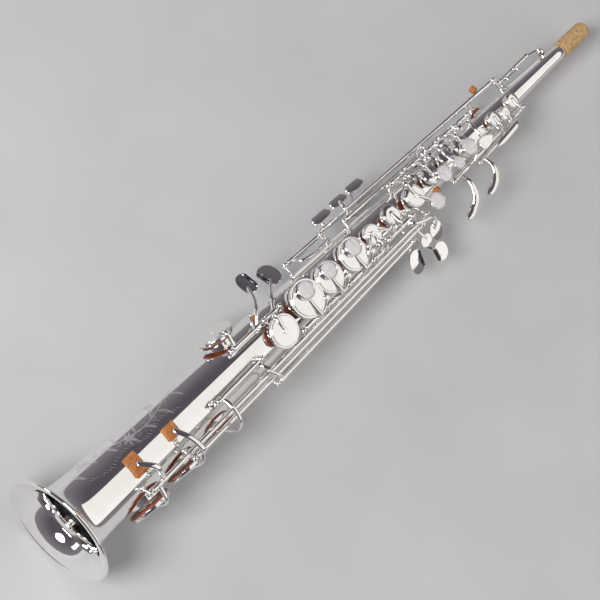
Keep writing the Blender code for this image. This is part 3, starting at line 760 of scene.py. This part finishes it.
def stroke(shape, line, width):
    """One cut of the graver: a ribbon pointed at both ends, laid on the tube."""
    count = len(line) - 1
    left = []
    right = []
    for i, (u, across) in enumerate(line):
        before = line[max(i - 1, 0)]
        after = line[min(i + 1, count)]
        run = Vector((after[0] - before[0], after[1] - before[1])).normalized()
        half = 0.5 * width * math.sin(math.pi * (i + 0.12) / (count + 0.24)) ** 0.6
        left.append(on_tube(u - run.y * half, across + run.x * half))
        right.append(on_tube(u + run.y * half, across - run.x * half))
    start = len(shape.points)
    shape.points += left + right
    for i in range(count):
        shape.faces.append((start + i, start + i + 1, start + count + 2 + i, start + count + 1 + i))


def curl(start, heading, length, bend, steps=10):
    """Curved line from a start point: heading and total bend in degrees."""
    line = [start]
    for k in range(steps):
        a = math.radians(heading + bend * (k + 0.5) / steps)
        u, across = line[-1]
        line.append((u + length / steps * math.cos(a), across + length / steps * math.sin(a)))
    return line


def leaf(shape, start, heading, length, bend, plump):
    """Pointed leaf: two bowed edges, a midrib and fine shading cuts."""
    stroke(shape, curl(start, heading + plump, length, bend - 2 * plump), 0.6)
    stroke(shape, curl(start, heading - plump, length, bend + 2 * plump), 0.45)
    rib = curl(start, heading, length * 0.9, bend)
    stroke(shape, rib, 0.3)
    for k in range(2, len(rib) - 1):
        tangent = heading + bend * k / len(rib)
        stroke(shape, curl(rib[k], tangent + 38, length * 0.17, -18, 4), 0.32)


def make_engraving():
    """Generic flowers and trailing leaves on the player's right of the bell."""
    shape = Shape()
    rng = random.Random(7)
    stem = [(22.0 + 112.0 * k / 40.0, 5.5 * math.sin(k / 40.0 * math.pi * 2.3) - 1.0) for k in range(41)]
    stroke(shape, stem, 0.85)
    for k in range(2, 39, 3):
        side = 1 if (k // 3) % 2 else -1
        length = 11.0 + rng.uniform(-2.0, 4.0)
        leaf(shape, stem[k], side * rng.uniform(28, 52), length, side * rng.uniform(20, 55), 17)
        stroke(shape, curl(stem[k + 1], -side * 40, 7.0, -side * 220, 14), 0.4)
    for u, across, size in ((43.0, 6.0, 5.2), (80.0, -5.5, 6.5), (112.0, 6.5, 4.6)):
        for petal in range(7):
            turn = 360.0 / 7.0 * petal + u
            leaf(shape, (u, across), turn, size, 30, 26)
        for ring in range(3):
            stroke(shape, curl((u + 0.5 * ring, across), 90, 2.4 + ring, 350, 14), 0.3)
    for k in range(30):
        u = 34.0 + 92.0 * k / 30.0
        base = 12.0 + 2.0 * math.sin(u * 0.16)
        stroke(shape, curl((u, base), 62 + rng.uniform(-8, 8), 4.0 + 2.0 * math.sin(u * 0.3), -30, 5), 0.3)
        stroke(shape, curl((u, -base + 1.5), -60 + rng.uniform(-8, 8), 3.6, 30, 5), 0.3)
    piece("floral_engraving", shape, SATIN)


# Key work

def oval(half_length, half_width, power=2.3, sides=40):
    """Outline between an ellipse and a rounded rectangle."""
    line = []
    for k in range(sides):
        a = 2.0 * math.pi * k / sides
        c, s = math.cos(a), math.sin(a)
        line.append((half_length * math.copysign(abs(c) ** (2 / power), c),
                     half_width * math.copysign(abs(s) ** (2 / power), s)))
    return line


def notched(outline, side, depth, half_gap):
    """Outline with a square recess for a roller on one side along the tube."""
    line = []
    for x, y in outline:
        if x * side > depth and abs(y) < half_gap:
            x = side * depth
        line.append((x, y))
    return line


def teardrop(half_length, half_width, sides=40):
    """Outline that narrows towards the neck."""
    line = []
    for k in range(sides):
        a = 2.0 * math.pi * k / sides
        x = half_length * math.cos(a)
        line.append((x, half_width * math.sin(a) * (1.0 - 0.45 * math.cos(a))))
    return line


# Rollers beside a touch piece: key and the side along the tube that it lies on
ROLLERS = {"low_c": 1, "low_eflat": -1, "low_bflat": -1, "low_csharp_lever": 1}


def draw_hinge_tube(shape, key):
    """Hinge tube with end rings and collars where arms are brazed on."""
    low, high, run = hinge(key)
    length = (high - low).length
    spots = [1.3, length - 1.3]
    for line in key.get("arms", []) + key.get("feet", []):
        spots.append((on_hinge(key, line[0][0]) - low).length)
    if "cup" in key:
        at = key["over"][0][0] if "over" in key else key["cup"][0]
        spots.append((on_hinge(key, at) - low).length)
    stretches = []
    for spot in sorted(spots):
        first, last = max(spot - 1.7, 0.0), min(spot + 1.7, length)
        if spot in (1.3, length - 1.3):
            first, last = max(spot - 1.3, 0.0), min(spot + 0.2, length)
        if stretches and first < stretches[-1][1] + 0.8:
            stretches[-1][1] = max(last, stretches[-1][1])
        else:
            stretches.append([first, last])
    profile = [(0.0, 0.0)]
    for first, last in stretches:
        if first > 0.0:
            profile.append((ROD_RADIUS, first))
        profile += [(COLLAR_RADIUS, first), (COLLAR_RADIUS, last)]
        if last < length:
            profile.append((ROD_RADIUS, last))
    profile.append((0.0, length))
    shape.turned(eased(profile, 0.2, 2), low, frame_from(run, (0.0, 0.3, 1.0)), 20)


def draw_cup(shape, key):
    """Pad cup with a skirt, a stepped dome, a boss and the arm that carries it."""
    u, _, pad = key["cup"]
    base, n, seat = cup_seat(key["cup"])
    rotation = frame_from(n)
    rim = pad + 0.7
    skirt = SEAT_GAP + (1.5 if pad >= SMALL_PAD else 1.1)
    profile = [(0.0, skirt + 1.2), (rim - 0.6, skirt + 1.2), (rim - 0.6, skirt), (rim, skirt),
               (rim, CUP_HEIGHT - 1.5), (rim - 0.35, CUP_HEIGHT - 1.05), (rim * 0.88, CUP_HEIGHT - 0.95),
               (rim * 0.86, CUP_HEIGHT - 0.55), (rim * 0.55, CUP_HEIGHT - 0.15), (0.0, CUP_HEIGHT)]
    shape.turned(eased(profile, 0.22, 3), base + n * seat, rotation, 48 if pad > 9 else 32)
    crown = base + n * (seat + CUP_HEIGHT - 0.3)
    towards = on_hinge(key, u) - crown
    towards -= towards.dot(n) * n
    towards.normalize()
    shoulder = crown + towards * (rim + 1.0) + n * 1.3
    line = [on_hinge(key, u), shoulder, crown + towards * rim * 0.55 + n * 0.75, crown + n * 0.3]
    if "over" in key:
        line = [on_hinge(key, key["over"][0][0]), *key["over"], crown + n * 0.3]
    small = 0.8 if pad < SMALL_PAD else 1.0
    shape.bar(line, (1.9 * small, 1.3 * small), (1.25 * small, 0.75 * small), hinge(key)[2], 14)
    boss = [(0.0, -0.3), (2.4 * small, -0.3), (2.2 * small, 0.75), (0.0, 1.15)]
    shape.turned(eased(boss, 0.3), crown, rotation, 24)


def draw_holder(shape, pearl):
    """Dish that holds a pearl, with a thin rim, and the stem under it."""
    centre, normal, radius, stem = pearl
    rotation = frame_from(normal)
    profile = [(0.0, -2.2), (radius * 0.62, -2.2), (radius - 0.3, -1.3), (radius, -0.7), (radius, 0.55),
               (radius - 0.25, 0.75), (radius - 0.5, 0.55), (radius - 0.55, -0.4), (0.0, -0.4)]
    shape.turned(eased(profile, 0.2, 2), centre, rotation, 40)
    under = Vector(centre) - rotation.col[2] * 1.6
    shape.bar([Vector(stem), Vector(stem).lerp(under, 0.5), under], (1.8, 1.6), (1.4, 1.2), sides=12)


def draw_touch(shape, name, centre, normal, half_length, half_width):
    """Touch plate of a key, with a recess where it has a roller."""
    if name == "front_f":
        outline = teardrop(half_length, half_width)
    elif name in ("high_e", "side_c", "side_bflat", "octave_thumb"):
        outline = oval(half_length, half_width, 2.6)
    else:
        outline = oval(half_length, half_width, 2.2)
    if name in ROLLERS:
        outline = notched(outline, ROLLERS[name], half_length * 0.42, half_width * 0.72)
    crown = 0.7 if name in ("high_e", "side_c", "side_bflat") else 0.3
    shape.plate(centre, normal, outline, crown=crown)
    rotation = frame_from(normal)
    if name in ROLLERS:
        for side in (-1.0, 1.0):
            offset = Vector((ROLLERS[name] * half_length * 0.62, side * half_width * 0.74, 0.0))
            shape.turned(eased([(0.0, -0.9), (1.2, -0.9), (1.2, 0.9), (0.0, 0.9)], 0.25),
                         Vector(centre) + rotation @ offset, frame_from(rotation.col[1]), 14)


def draw_roller(shape, name, centre, normal, half_length, half_width):
    rotation = frame_from(normal)
    middle = Vector(centre) + rotation @ Vector((ROLLERS[name] * half_length * 0.66, 0.0, 0.25))
    reach = half_width * 0.68
    profile = [(0.0, -reach), (1.15, -reach), (1.55, -reach + 0.5), (1.6, 0.0), (1.55, reach - 0.5),
               (1.15, reach), (0.0, reach)]
    shape.turned(profile, middle, frame_from(rotation.col[1], rotation.col[0]), 18)


def draw_blade(shape, name, line):
    """Curved palm key blade: broad in the middle with a raised back."""
    points = spline(line, 8)
    narrow = name == "palm_f"
    guide = Vector((0.0, 0.0, 1.0)) if narrow else Vector((0.0, 0.3, 1.0))
    count = len(points) - 1
    rings = []
    for i, point in enumerate(points):
        run = (points[min(i + 1, count)] - points[max(i - 1, 0)]).normalized()
        up = (guide - guide.dot(run) * run).normalized()
        across = up.cross(run)
        share = i / count
        swell = 0.5 + 0.5 * math.sin(math.pi * min(share * 1.15, 1.0) * 0.5)
        tip = math.sqrt(max(1.0 - max((share - 0.86) / 0.14, 0.0) ** 2, 0.0))
        half_width = (2.7 if narrow else 3.2) * swell * max(tip, 0.12)
        half_height = 0.95 * max(tip, 0.3)
        ring = []
        for k in range(16):
            a = 2.0 * math.pi * k / 16
            c, s = math.cos(a), math.sin(a)
            dish = 0.45 * (0.5 - c * c) * swell
            ring.append(point + across * (half_width * c) + up * (half_height * s + dish))
        rings.append(ring)
    shape.skin(rings)


def make_key(name, key):
    """Every piece of one key, riding on its body."""
    metal = Shape()
    turn = rest_turn(key)
    plates = key.get("plates", [])
    if "cup" in key:
        draw_cup(metal, key)
    for number, line in enumerate(key.get("arms", [])):
        points = [on_hinge(key, line[0][0]), *(Vector(p) for p in line[1:])]
        if number < len(plates):
            centre, normal = plates[number][:2]
            under = Vector(centre) - frame_from(normal).col[2] * 0.9
            if (under - points[-1]).length < 1.5:
                points.pop()
            points.append(under)
        metal.bar(points, (1.7, 1.3), (1.2, 0.9), None if name == "g_sharp" else hinge(key)[2], 14)
    for line in key.get("blades", []):
        draw_blade(metal, name, line)
    for plate in plates:
        draw_touch(metal, name, *plate)
    for pearl in key.get("pearls", []):
        draw_holder(metal, pearl)
    metal.points = [turn @ p for p in metal.points]
    for line in key.get("feet", []):
        points = [on_hinge(key, line[0][0]), *(Vector(p) for p in line[1:])]
        metal.bar(points, (2.3, 2.2), (1.3, 1.1), hinge(key)[2], 14)
    draw_hinge_tube(metal, key)
    piece(name + "_keywork", metal, SILVER, name, [name + "_key"])
    if "cup" in key:
        make_pad(name, key, turn)
    for centre, normal, radius, _ in key.get("pearls", []):
        disc = Shape()
        edge = radius - 0.6
        profile = [(0.0, -0.35), (edge, -0.35), (edge, 0.5), (edge - 0.35, 0.95), (edge * 0.75, 1.2),
                   (edge * 0.4, 1.32), (0.0, 1.36)]
        disc.turned(eased(profile, 0.25, 3), centre, frame_from(normal), 40)
        piece(name + "_pearl_disc", disc, PEARL, name, [name + "_pearl"], turn, 60.0)
    if name in ROLLERS:
        roller = Shape()
        draw_roller(roller, name, *plates[0])
        piece(name + "_roller", roller, BLACK, name, turn=turn)


def make_pad(name, key, turn):
    """Leather pad bulging out of its cup, with a turned resonator and rivet under it."""
    base, n, seat = cup_seat(key["cup"])
    radius = key["cup"][2]
    rotation = frame_from(n)
    large = radius >= SMALL_PAD
    top = SEAT_GAP + (2.3 if large else 2.0)
    pad = Shape()
    profile = [(0.0, SEAT_GAP + 0.25), (radius * 0.8, SEAT_GAP + 0.1), (radius - 0.5, SEAT_GAP),
               (radius + 0.1, SEAT_GAP + 0.35), (radius + 0.25, SEAT_GAP + 0.9), (radius, top), (0.0, top)]
    pad.turned(eased(profile, 0.3, 3), base + n * seat, rotation, 40)
    stands_for = [name + "_pad"] if large else []
    made = piece(name + "_leather_pad", pad, LEATHER, name, stands_for, turn, 60.0)
    if large:
        resonator = Shape()
        profile = [(0.0, SEAT_GAP + 0.4), (radius * 0.5, SEAT_GAP + 0.4), (radius * 0.52, SEAT_GAP + 0.05),
                   (radius * 0.2, SEAT_GAP - 0.1), (radius * 0.1, SEAT_GAP - 0.25), (0.0, SEAT_GAP - 0.25)]
        resonator.turned(eased(profile, 0.1, 2), base + n * seat, rotation, 32)
        piece(name + "_resonator", resonator, SILVER, name, turn=turn)


# Small fittings

# Adjusting screws: (key, foot, direction, length), drawn with the key closed
SCREWS = (("f", (336, -10, 21), (0, 0, 1), 3.6), ("g_sharp", (366, -10, 22.5), (0, 0, 1), 3.2),
          ("e", (305, -11, 21.5), (0, 0, 1), 3.0), ("d", (277, -11.5, 22.5), (0, 0, 1), 3.0),
          ("a", (441, 11, 15.5), (0, 0, 1), 2.8), ("b", (482, 10.5, 14.5), (0, 0, 1), 2.8))
# Corks glued to keys: (name, key, centre, direction, radius, length), drawn with the key closed
KEY_CORKS = (("g_stop_cork", "g", (419.2, -13.3, 18.2), (0.2, -0.3, 1), 2.8, 4.5),
             ("side_stop_cork", "high_e", (531, 26.5, -0.5), (0, 1, -0.2), 2.9, 5.0),
             ("low_c_cork", "low_c", (221.0, 13.5, 20.2), (0, 0.35, 1), 2.4, 3.4))


# Linkage bars: (name, key, points, end radius), drawn with the key closed; a ball ends each bar
LINKS = (("fsharp_link", "f", [(329, -17.2, 14.6), (331, -10, 22.5), (338, -4, 24.5), (344, 1, 23.0)], 1.5),
         ("e_link", "e", [(299, -17.8, 15.5), (301.5, -11, 21.5), (306, -8.5, 23.0)], 1.3),
         ("g_sharp_link", "g_sharp", [(362, -14, 18.3), (360, -8, 23.5), (352, -3, 24.5)], 1.5),
         ("g_link", "g", [(409, 16.6, 12.4), (412, 10, 19.0), (417, 4, 20.5)], 1.3),
         ("a_link", "a", [(436, 16.1, 11.8), (438.5, 10.5, 17.6), (441, 4.5, 19.0)], 1.3),
         ("bis_link", "bis", [(454, 15.7, 11.4), (457, 10, 16.5), (460.2, 4.5, 17.4)], 1.2),
         ("b_link", "b", [(465, 15.5, 11.2), (464, 11.5, 16.5), (463, 7.5, 20.5)], 1.2),
         ("side_c_link", "side_c", [(440, 18.0, 5.1), (442, 21.5, 8.0), (445.5, 21.3, 10.8)], 1.3),
         ("palm_d_link", "palm_d", [(470, -16.2, 4.7), (473, -17.5, 9.0), (478, -14.0, 13.5)], 1.3),
         ("low_c_link", "low_c", [(213, 7.4, 21.7), (215, 13, 23.5), (220, 17.5, 20.0)], 1.5),
         ("octave_link", "body_octave", [(509, -7.4, -13.6), (505, -10.5, -12.0), (500, -11.5, -9.0)], 1.2))


def make_links():
    """Regulation arms that couple the stack keys, each ending in a ball."""
    for label, name, line, end in LINKS:
        shape = Shape()
        shape.bar(line, (1.4, 0.9), (0.9, 0.7), hinge(KEYS[name])[2], 12)
        shape.turned(ball(end), line[-1], frame_from((0, 0, 1)), 16)
        piece(label, shape, SILVER, name, turn=rest_turn(KEYS[name]))


def make_fittings():
    """Adjusting screws on short arms, and the corks that quiet the keys."""
    for name, foot, direction, length in SCREWS:
        shape = Shape()
        rotation = frame_from(direction, (1.0, 0.2, 0.0))
        profile = [(0.0, -1.6), (0.8, -1.6), (0.8, 0.0), (2.0, 0.0), (2.0, 1.6), (1.2, 1.6),
                   (1.2, length - 0.8), (1.7, length - 0.8), (1.7, length), (0.0, length)]
        shape.turned(eased(profile, 0.2), foot, rotation, 16)
        root = on_hinge(KEYS[name], foot[0])
        bend = root.lerp(Vector(foot), 0.6) + Vector((0, 0, 1.0))
        shape.bar([root, bend, Vector(foot) + rotation.col[2] * 0.8], (1.3, 1.0), (0.9, 0.7),
                  hinge(KEYS[name])[2], 12)
        piece(name + "_adjusting_screw", shape, SILVER, name, turn=rest_turn(KEYS[name]))
    for label, name, centre, direction, radius, length in KEY_CORKS:
        shape = Shape()
        half = length / 2
        profile = [(0.0, -half), (radius, -half), (radius * 1.04, 0.0), (radius, half), (0.0, half)]
        shape.turned(eased(profile, 0.6, 3), centre, frame_from(direction, (1.0, 0.3, 0.1)), 24)
        piece(label, shape, DARK_CORK, name, turn=rest_turn(KEYS[name]))


def make_cork_sleeve():
    """Mouthpiece cork: a slightly waisted sleeve with a chamfered end."""
    low = CORK_START + 0.1
    inside = TENON_RADIUS + 0.2
    shape = Shape()
    profile = [(inside, low), (CORK_RADIUS - 0.4, low), (CORK_RADIUS - 0.05, low + 0.7),
               (CORK_RADIUS, low + 5.0), (CORK_RADIUS + 0.1, low + 16.0), (CORK_RADIUS, LENGTH - 3.5),
               (CORK_RADIUS - 0.35, LENGTH - 1.6), (CORK_RADIUS - 1.0, LENGTH - 0.6),
               (inside + 0.2, LENGTH - 0.35), (inside, LENGTH - 0.6)]
    shape.turned(eased(profile, 0.5, 3), (0, 0, 0), frame_from((1, 0, 0), (0, 1, 0)), 64, closed=True)
    piece("cork_sleeve", shape, CORK, stands_for=["mouthpiece_cork"], crease=60.0)


def make_bumpers():
    """Cork strips on the tube under the feet of the two bell keys."""
    for name, (u, angle, length, width) in BUMPERS.items():
        shape = Shape()
        rings = []
        low = tube_radius(u - length / 2) - 0.4
        high = tube_radius(u - length / 2) + SEAT_GAP + BUMPER_THICKNESS
        steps = 18
        for k in range(steps + 1):
            share = k / steps
            n = outward(angle - width / 2 + width * share)
            edge = 0.35 if k in (0, steps) else 0.0
            half = length / 2
            corners = ((u - half + edge, low), (u - half, high - 0.5), (u - half + 0.35, high - 0.12 - edge),
                       (u - half + 1.0, high - edge), (u + half - 1.0, high - edge),
                       (u + half - 0.35, high - 0.12 - edge), (u + half, high - 0.5), (u + half - edge, low))
            rings.append([Vector((cu, 0.0, 0.0)) + n * radius for cu, radius in corners])
        shape.skin(rings)
        piece(name + "_strip", shape, DARK_CORK, stands_for=[name], crease=55.0)


def make_hook():
    """Thumb hook: a curved plate on a screwed foot, flat where the instrument rests on it."""
    top = tube_radius(HOOK_U - 12.0) + SEAT_GAP
    inner = [(HOOK_U + 7.4, -top - 1.8), (HOOK_U + 6.6, -24.5), (HOOK_U + 3.8, -29.8), (HOOK_U - 0.5, -33.0),
             (HOOK_PAD[0] + 3.0, -HOOK_DROP + 2.0), (HOOK_PAD[0] + 0.3, -HOOK_DROP + 1.9)]
    drop = 8.0 * math.tan(TILT)
    outer = [(HOOK_PAD[0], -HOOK_DROP - drop + 0.6), (HOOK_PAD[0] + 0.5, -HOOK_DROP - drop + 0.02),
             (HOOK_PAD[1], -HOOK_DROP), (HOOK_U + 1.0, -35.0), (HOOK_U + 6.0, -31.2), (HOOK_U + 9.0, -25.2),
             (HOOK_U + 9.5, -top - 1.8)]
    line = [(p.x, p.y) for half in (inner, outer) for p in spline([Vector(p) for p in half], 4)]
    line = [(u, max(z, -HOOK_DROP + (u - HOOK_PAD[1]) * math.tan(TILT))) for u, z in line]
    shape = Shape()
    rings = []
    half = HOOK_WIDTH / 2
    middle = Vector((sum(p[0] for p in line) / len(line), sum(p[1] for p in line) / len(line)))
    for y, pull in ((-half, 0.4), (-half + 0.35, 0.0), (half - 0.35, 0.0), (half, 0.4)):
        ring = []
        for u, z in line:
            shift = (middle - Vector((u, z))).normalized() * pull
            lift = max(shift.y, 0.0) if z < -HOOK_DROP + 1.0 else shift.y
            ring.append(Vector((u + shift.x, y, z + lift * 0.3)))
        rings.append(ring)
    shape.skin(rings)
    shape.plate((HOOK_U + 2.0, 0.0, -top - 1.0), (0, 0, -1), oval(14.0, 9.0, 3.0), 2.0, 0.1)
    for u in (HOOK_U - 8.0, HOOK_U + 12.5):
        screw = eased([(0.0, 0.0), (2.0, 0.0), (2.0, 0.7), (1.4, 1.2), (0.0, 1.3)], 0.25)
        shape.turned(screw, (u, 0.0, -top - 2.0), frame_from((0, 0, -1)), 20)
    piece("thumb_hook_plate", shape, SILVER, stands_for=["thumb_hook"])


def make_thumb_rest():
    """Dished disc for the left thumb."""
    low = tube_radius(THUMB_REST_U - 8.0) + SEAT_GAP
    shape = Shape()
    profile = [(0.0, low - 1.0), (6.6, low - 1.0), (7.9, low + 0.8), (8.0, low + 2.1), (7.3, low + 2.7),
               (5.5, low + 2.35), (0.0, low + 2.0)]
    shape.turned(eased(profile, 0.4, 3), (THUMB_REST_U, 0.0, 0.0), frame_from(outward(180.0)), 40)
    piece("thumb_rest_disc", shape, BLACK, stands_for=["thumb_rest"])


def make_ring():
    """Neck strap ring on its turned foot."""
    low = tube_radius(RING_U - 4.0) + SEAT_GAP
    shape = Shape()
    profile = [(0.0, low - 0.8), (4.4, low - 0.8), (4.4, low + 0.7), (2.2, low + 1.6), (1.7, low + 4.0),
               (0.0, low + 4.3)]
    shape.turned(eased(profile, 0.4, 3), (RING_U, 0.0, 0.0), frame_from(outward(180.0)), 28)
    loop = []
    for k in range(12):
        a = 2.0 * math.pi * k / 12.0
        loop.append((5.6 + 1.15 * math.cos(a), 1.15 * math.sin(a)))
    shape.turned(loop, (RING_U, 0.0, -(low + 8.8)), frame_from((0, 1, 0)), 40, closed=True)
    piece("strap_ring_loop", shape, SILVER, stands_for=["strap_ring"])


def make_octave_bracket():
    """Lugs on the octave key at the neck, and balls at its hinge's ends."""
    shape = Shape()
    key = KEYS["neck_octave"]
    for u, reach in ((563.0, 2.6), (577.0, 3.2)):
        point = on_hinge(key, u)
        bend = point + Vector((0.5, -1.5, reach + 2.0))
        tip = point + Vector((1.0, -5.0, reach + 3.0))
        shape.bar([point, bend, tip], (1.3, 0.9), (1.0, 0.8), (1, 0, 0), 12)
    low, high, _ = hinge(key)
    for end in (low, high):
        shape.turned(ball(2.7), end, frame_from((0, 0, 1)), 20)
    piece("octave_lugs", shape, SILVER, "neck_octave")


# Camera, light and floor

AIM_U = 273.0
CAMERA_DISTANCE = 1682.0
CAMERA_ELEVATION = math.radians(59.8)
CAMERA_ROLL = math.radians(43.8)
LENS = 132.0


def make_camera():
    """Camera above the bell end, looking down the instrument with the neck at the upper right."""
    toward = Vector((-math.cos(CAMERA_ELEVATION), 0.0, math.sin(CAMERA_ELEVATION)))
    along = (Vector((1.0, 0.0, 0.0)) - toward * toward.x).normalized()
    right = math.cos(CAMERA_ROLL) * along - math.sin(CAMERA_ROLL) * toward.cross(along)
    axes = Matrix((right, toward.cross(right), toward)).transposed()
    data = bpy.data.cameras.new("camera")
    data.lens = LENS
    data.clip_start = 0.05
    data.clip_end = 20.0
    camera = linked("camera", data)
    tilt = Matrix.Rotation(TILT, 3, "Y")
    spot = PLACEMENT @ Vector((AIM_U, 0.0, 0.0)) + (tilt @ toward) * CAMERA_DISTANCE * MM
    camera.matrix_world = Matrix.Translation(spot) @ (tilt @ axes).to_4x4()
    bpy.context.scene.camera = camera


def make_panel(name, spot, target, width, height, power, colour=(1.0, 1.0, 1.0), shape="RECTANGLE"):
    """Soft box: an area light turned towards a point."""
    data = bpy.data.lights.new(name, "AREA")
    data.shape = shape
    data.size = width
    data.size_y = height
    data.energy = power
    data.color = colour
    panel = linked(name, data)
    back = (Vector(spot) - Vector(target)).normalized()
    x = (Vector((1.0, 0.0, 0.0)) - back * back.x).normalized()
    panel.matrix_world = Matrix.Translation(spot) @ Matrix((x, back.cross(x), back)).transposed().to_4x4()


def make_studio():
    """Pale floor, one wide soft box over the neck end and two weak fills in a dim room."""
    size = 6.0
    floor_mesh = bpy.data.meshes.new("floor")
    corners = [(-size, -size, 0.0), (size, -size, 0.0), (size, size, 0.0), (-size, size, 0.0)]
    floor_mesh.from_pydata(corners, [], [(0, 1, 2, 3)])
    look = Look("floor_paper", (0.62, 0.62, 0.625), 0.9)
    tone = look.ramp(look.noise(0.01, 2.0), (0.3, (0.60, 0.60, 0.605)), (0.7, (0.64, 0.64, 0.645)))
    look.put("Base Color", tone)
    floor_mesh.materials.append(look.made)
    floor = linked("floor", floor_mesh)
    world = bpy.data.worlds.new("room")
    world.use_nodes = True
    tree = world.node_tree
    place = tree.nodes.new("ShaderNodeTexCoord")
    height = tree.nodes.new("ShaderNodeSeparateXYZ")
    fade = tree.nodes.new("ShaderNodeValToRGB")
    fade.color_ramp.elements[0].position = 0.0
    fade.color_ramp.elements[0].color = (0.21, 0.20, 0.215, 1.0)
    fade.color_ramp.elements[1].position = 0.75
    fade.color_ramp.elements[1].color = (0.085, 0.078, 0.092, 1.0)
    tree.links.new(place.outputs["Generated"], height.inputs[0])
    tree.links.new(height.outputs["Z"], fade.inputs["Fac"])
    tree.links.new(fade.outputs["Color"], tree.nodes["Background"].inputs["Color"])
    bpy.context.scene.world = world
    make_panel("key_softbox", (0.72, -0.85, 1.15), (0.15, -0.12, 0.0), 2.3, 2.2, 13.0, (1.0, 0.975, 0.925))
    make_panel("front_fill", (-1.7, 0.5, 1.7), (0.0, 0.0, 0.0), 1.0, 1.0, 42.0, shape="DISK")
    make_panel("edge_strip", (-0.5, 1.2, 0.55), (0.0, 0.0, 0.05), 1.2, 0.25, 3.0, (0.94, 0.95, 1.0))
    bpy.context.scene.view_settings.view_transform = "Standard"


def main():
    make_camera()
    make_studio()
    make_tube()
    make_chimneys()
    make_posts()
    make_straps()
    make_springs()
    make_engraving()
    for name, key in KEYS.items():
        make_key(name, key)
    make_links()
    make_fittings()
    make_octave_bracket()
    make_cork_sleeve()
    make_bumpers()
    make_hook()
    make_thumb_rest()
    make_ring()


main()
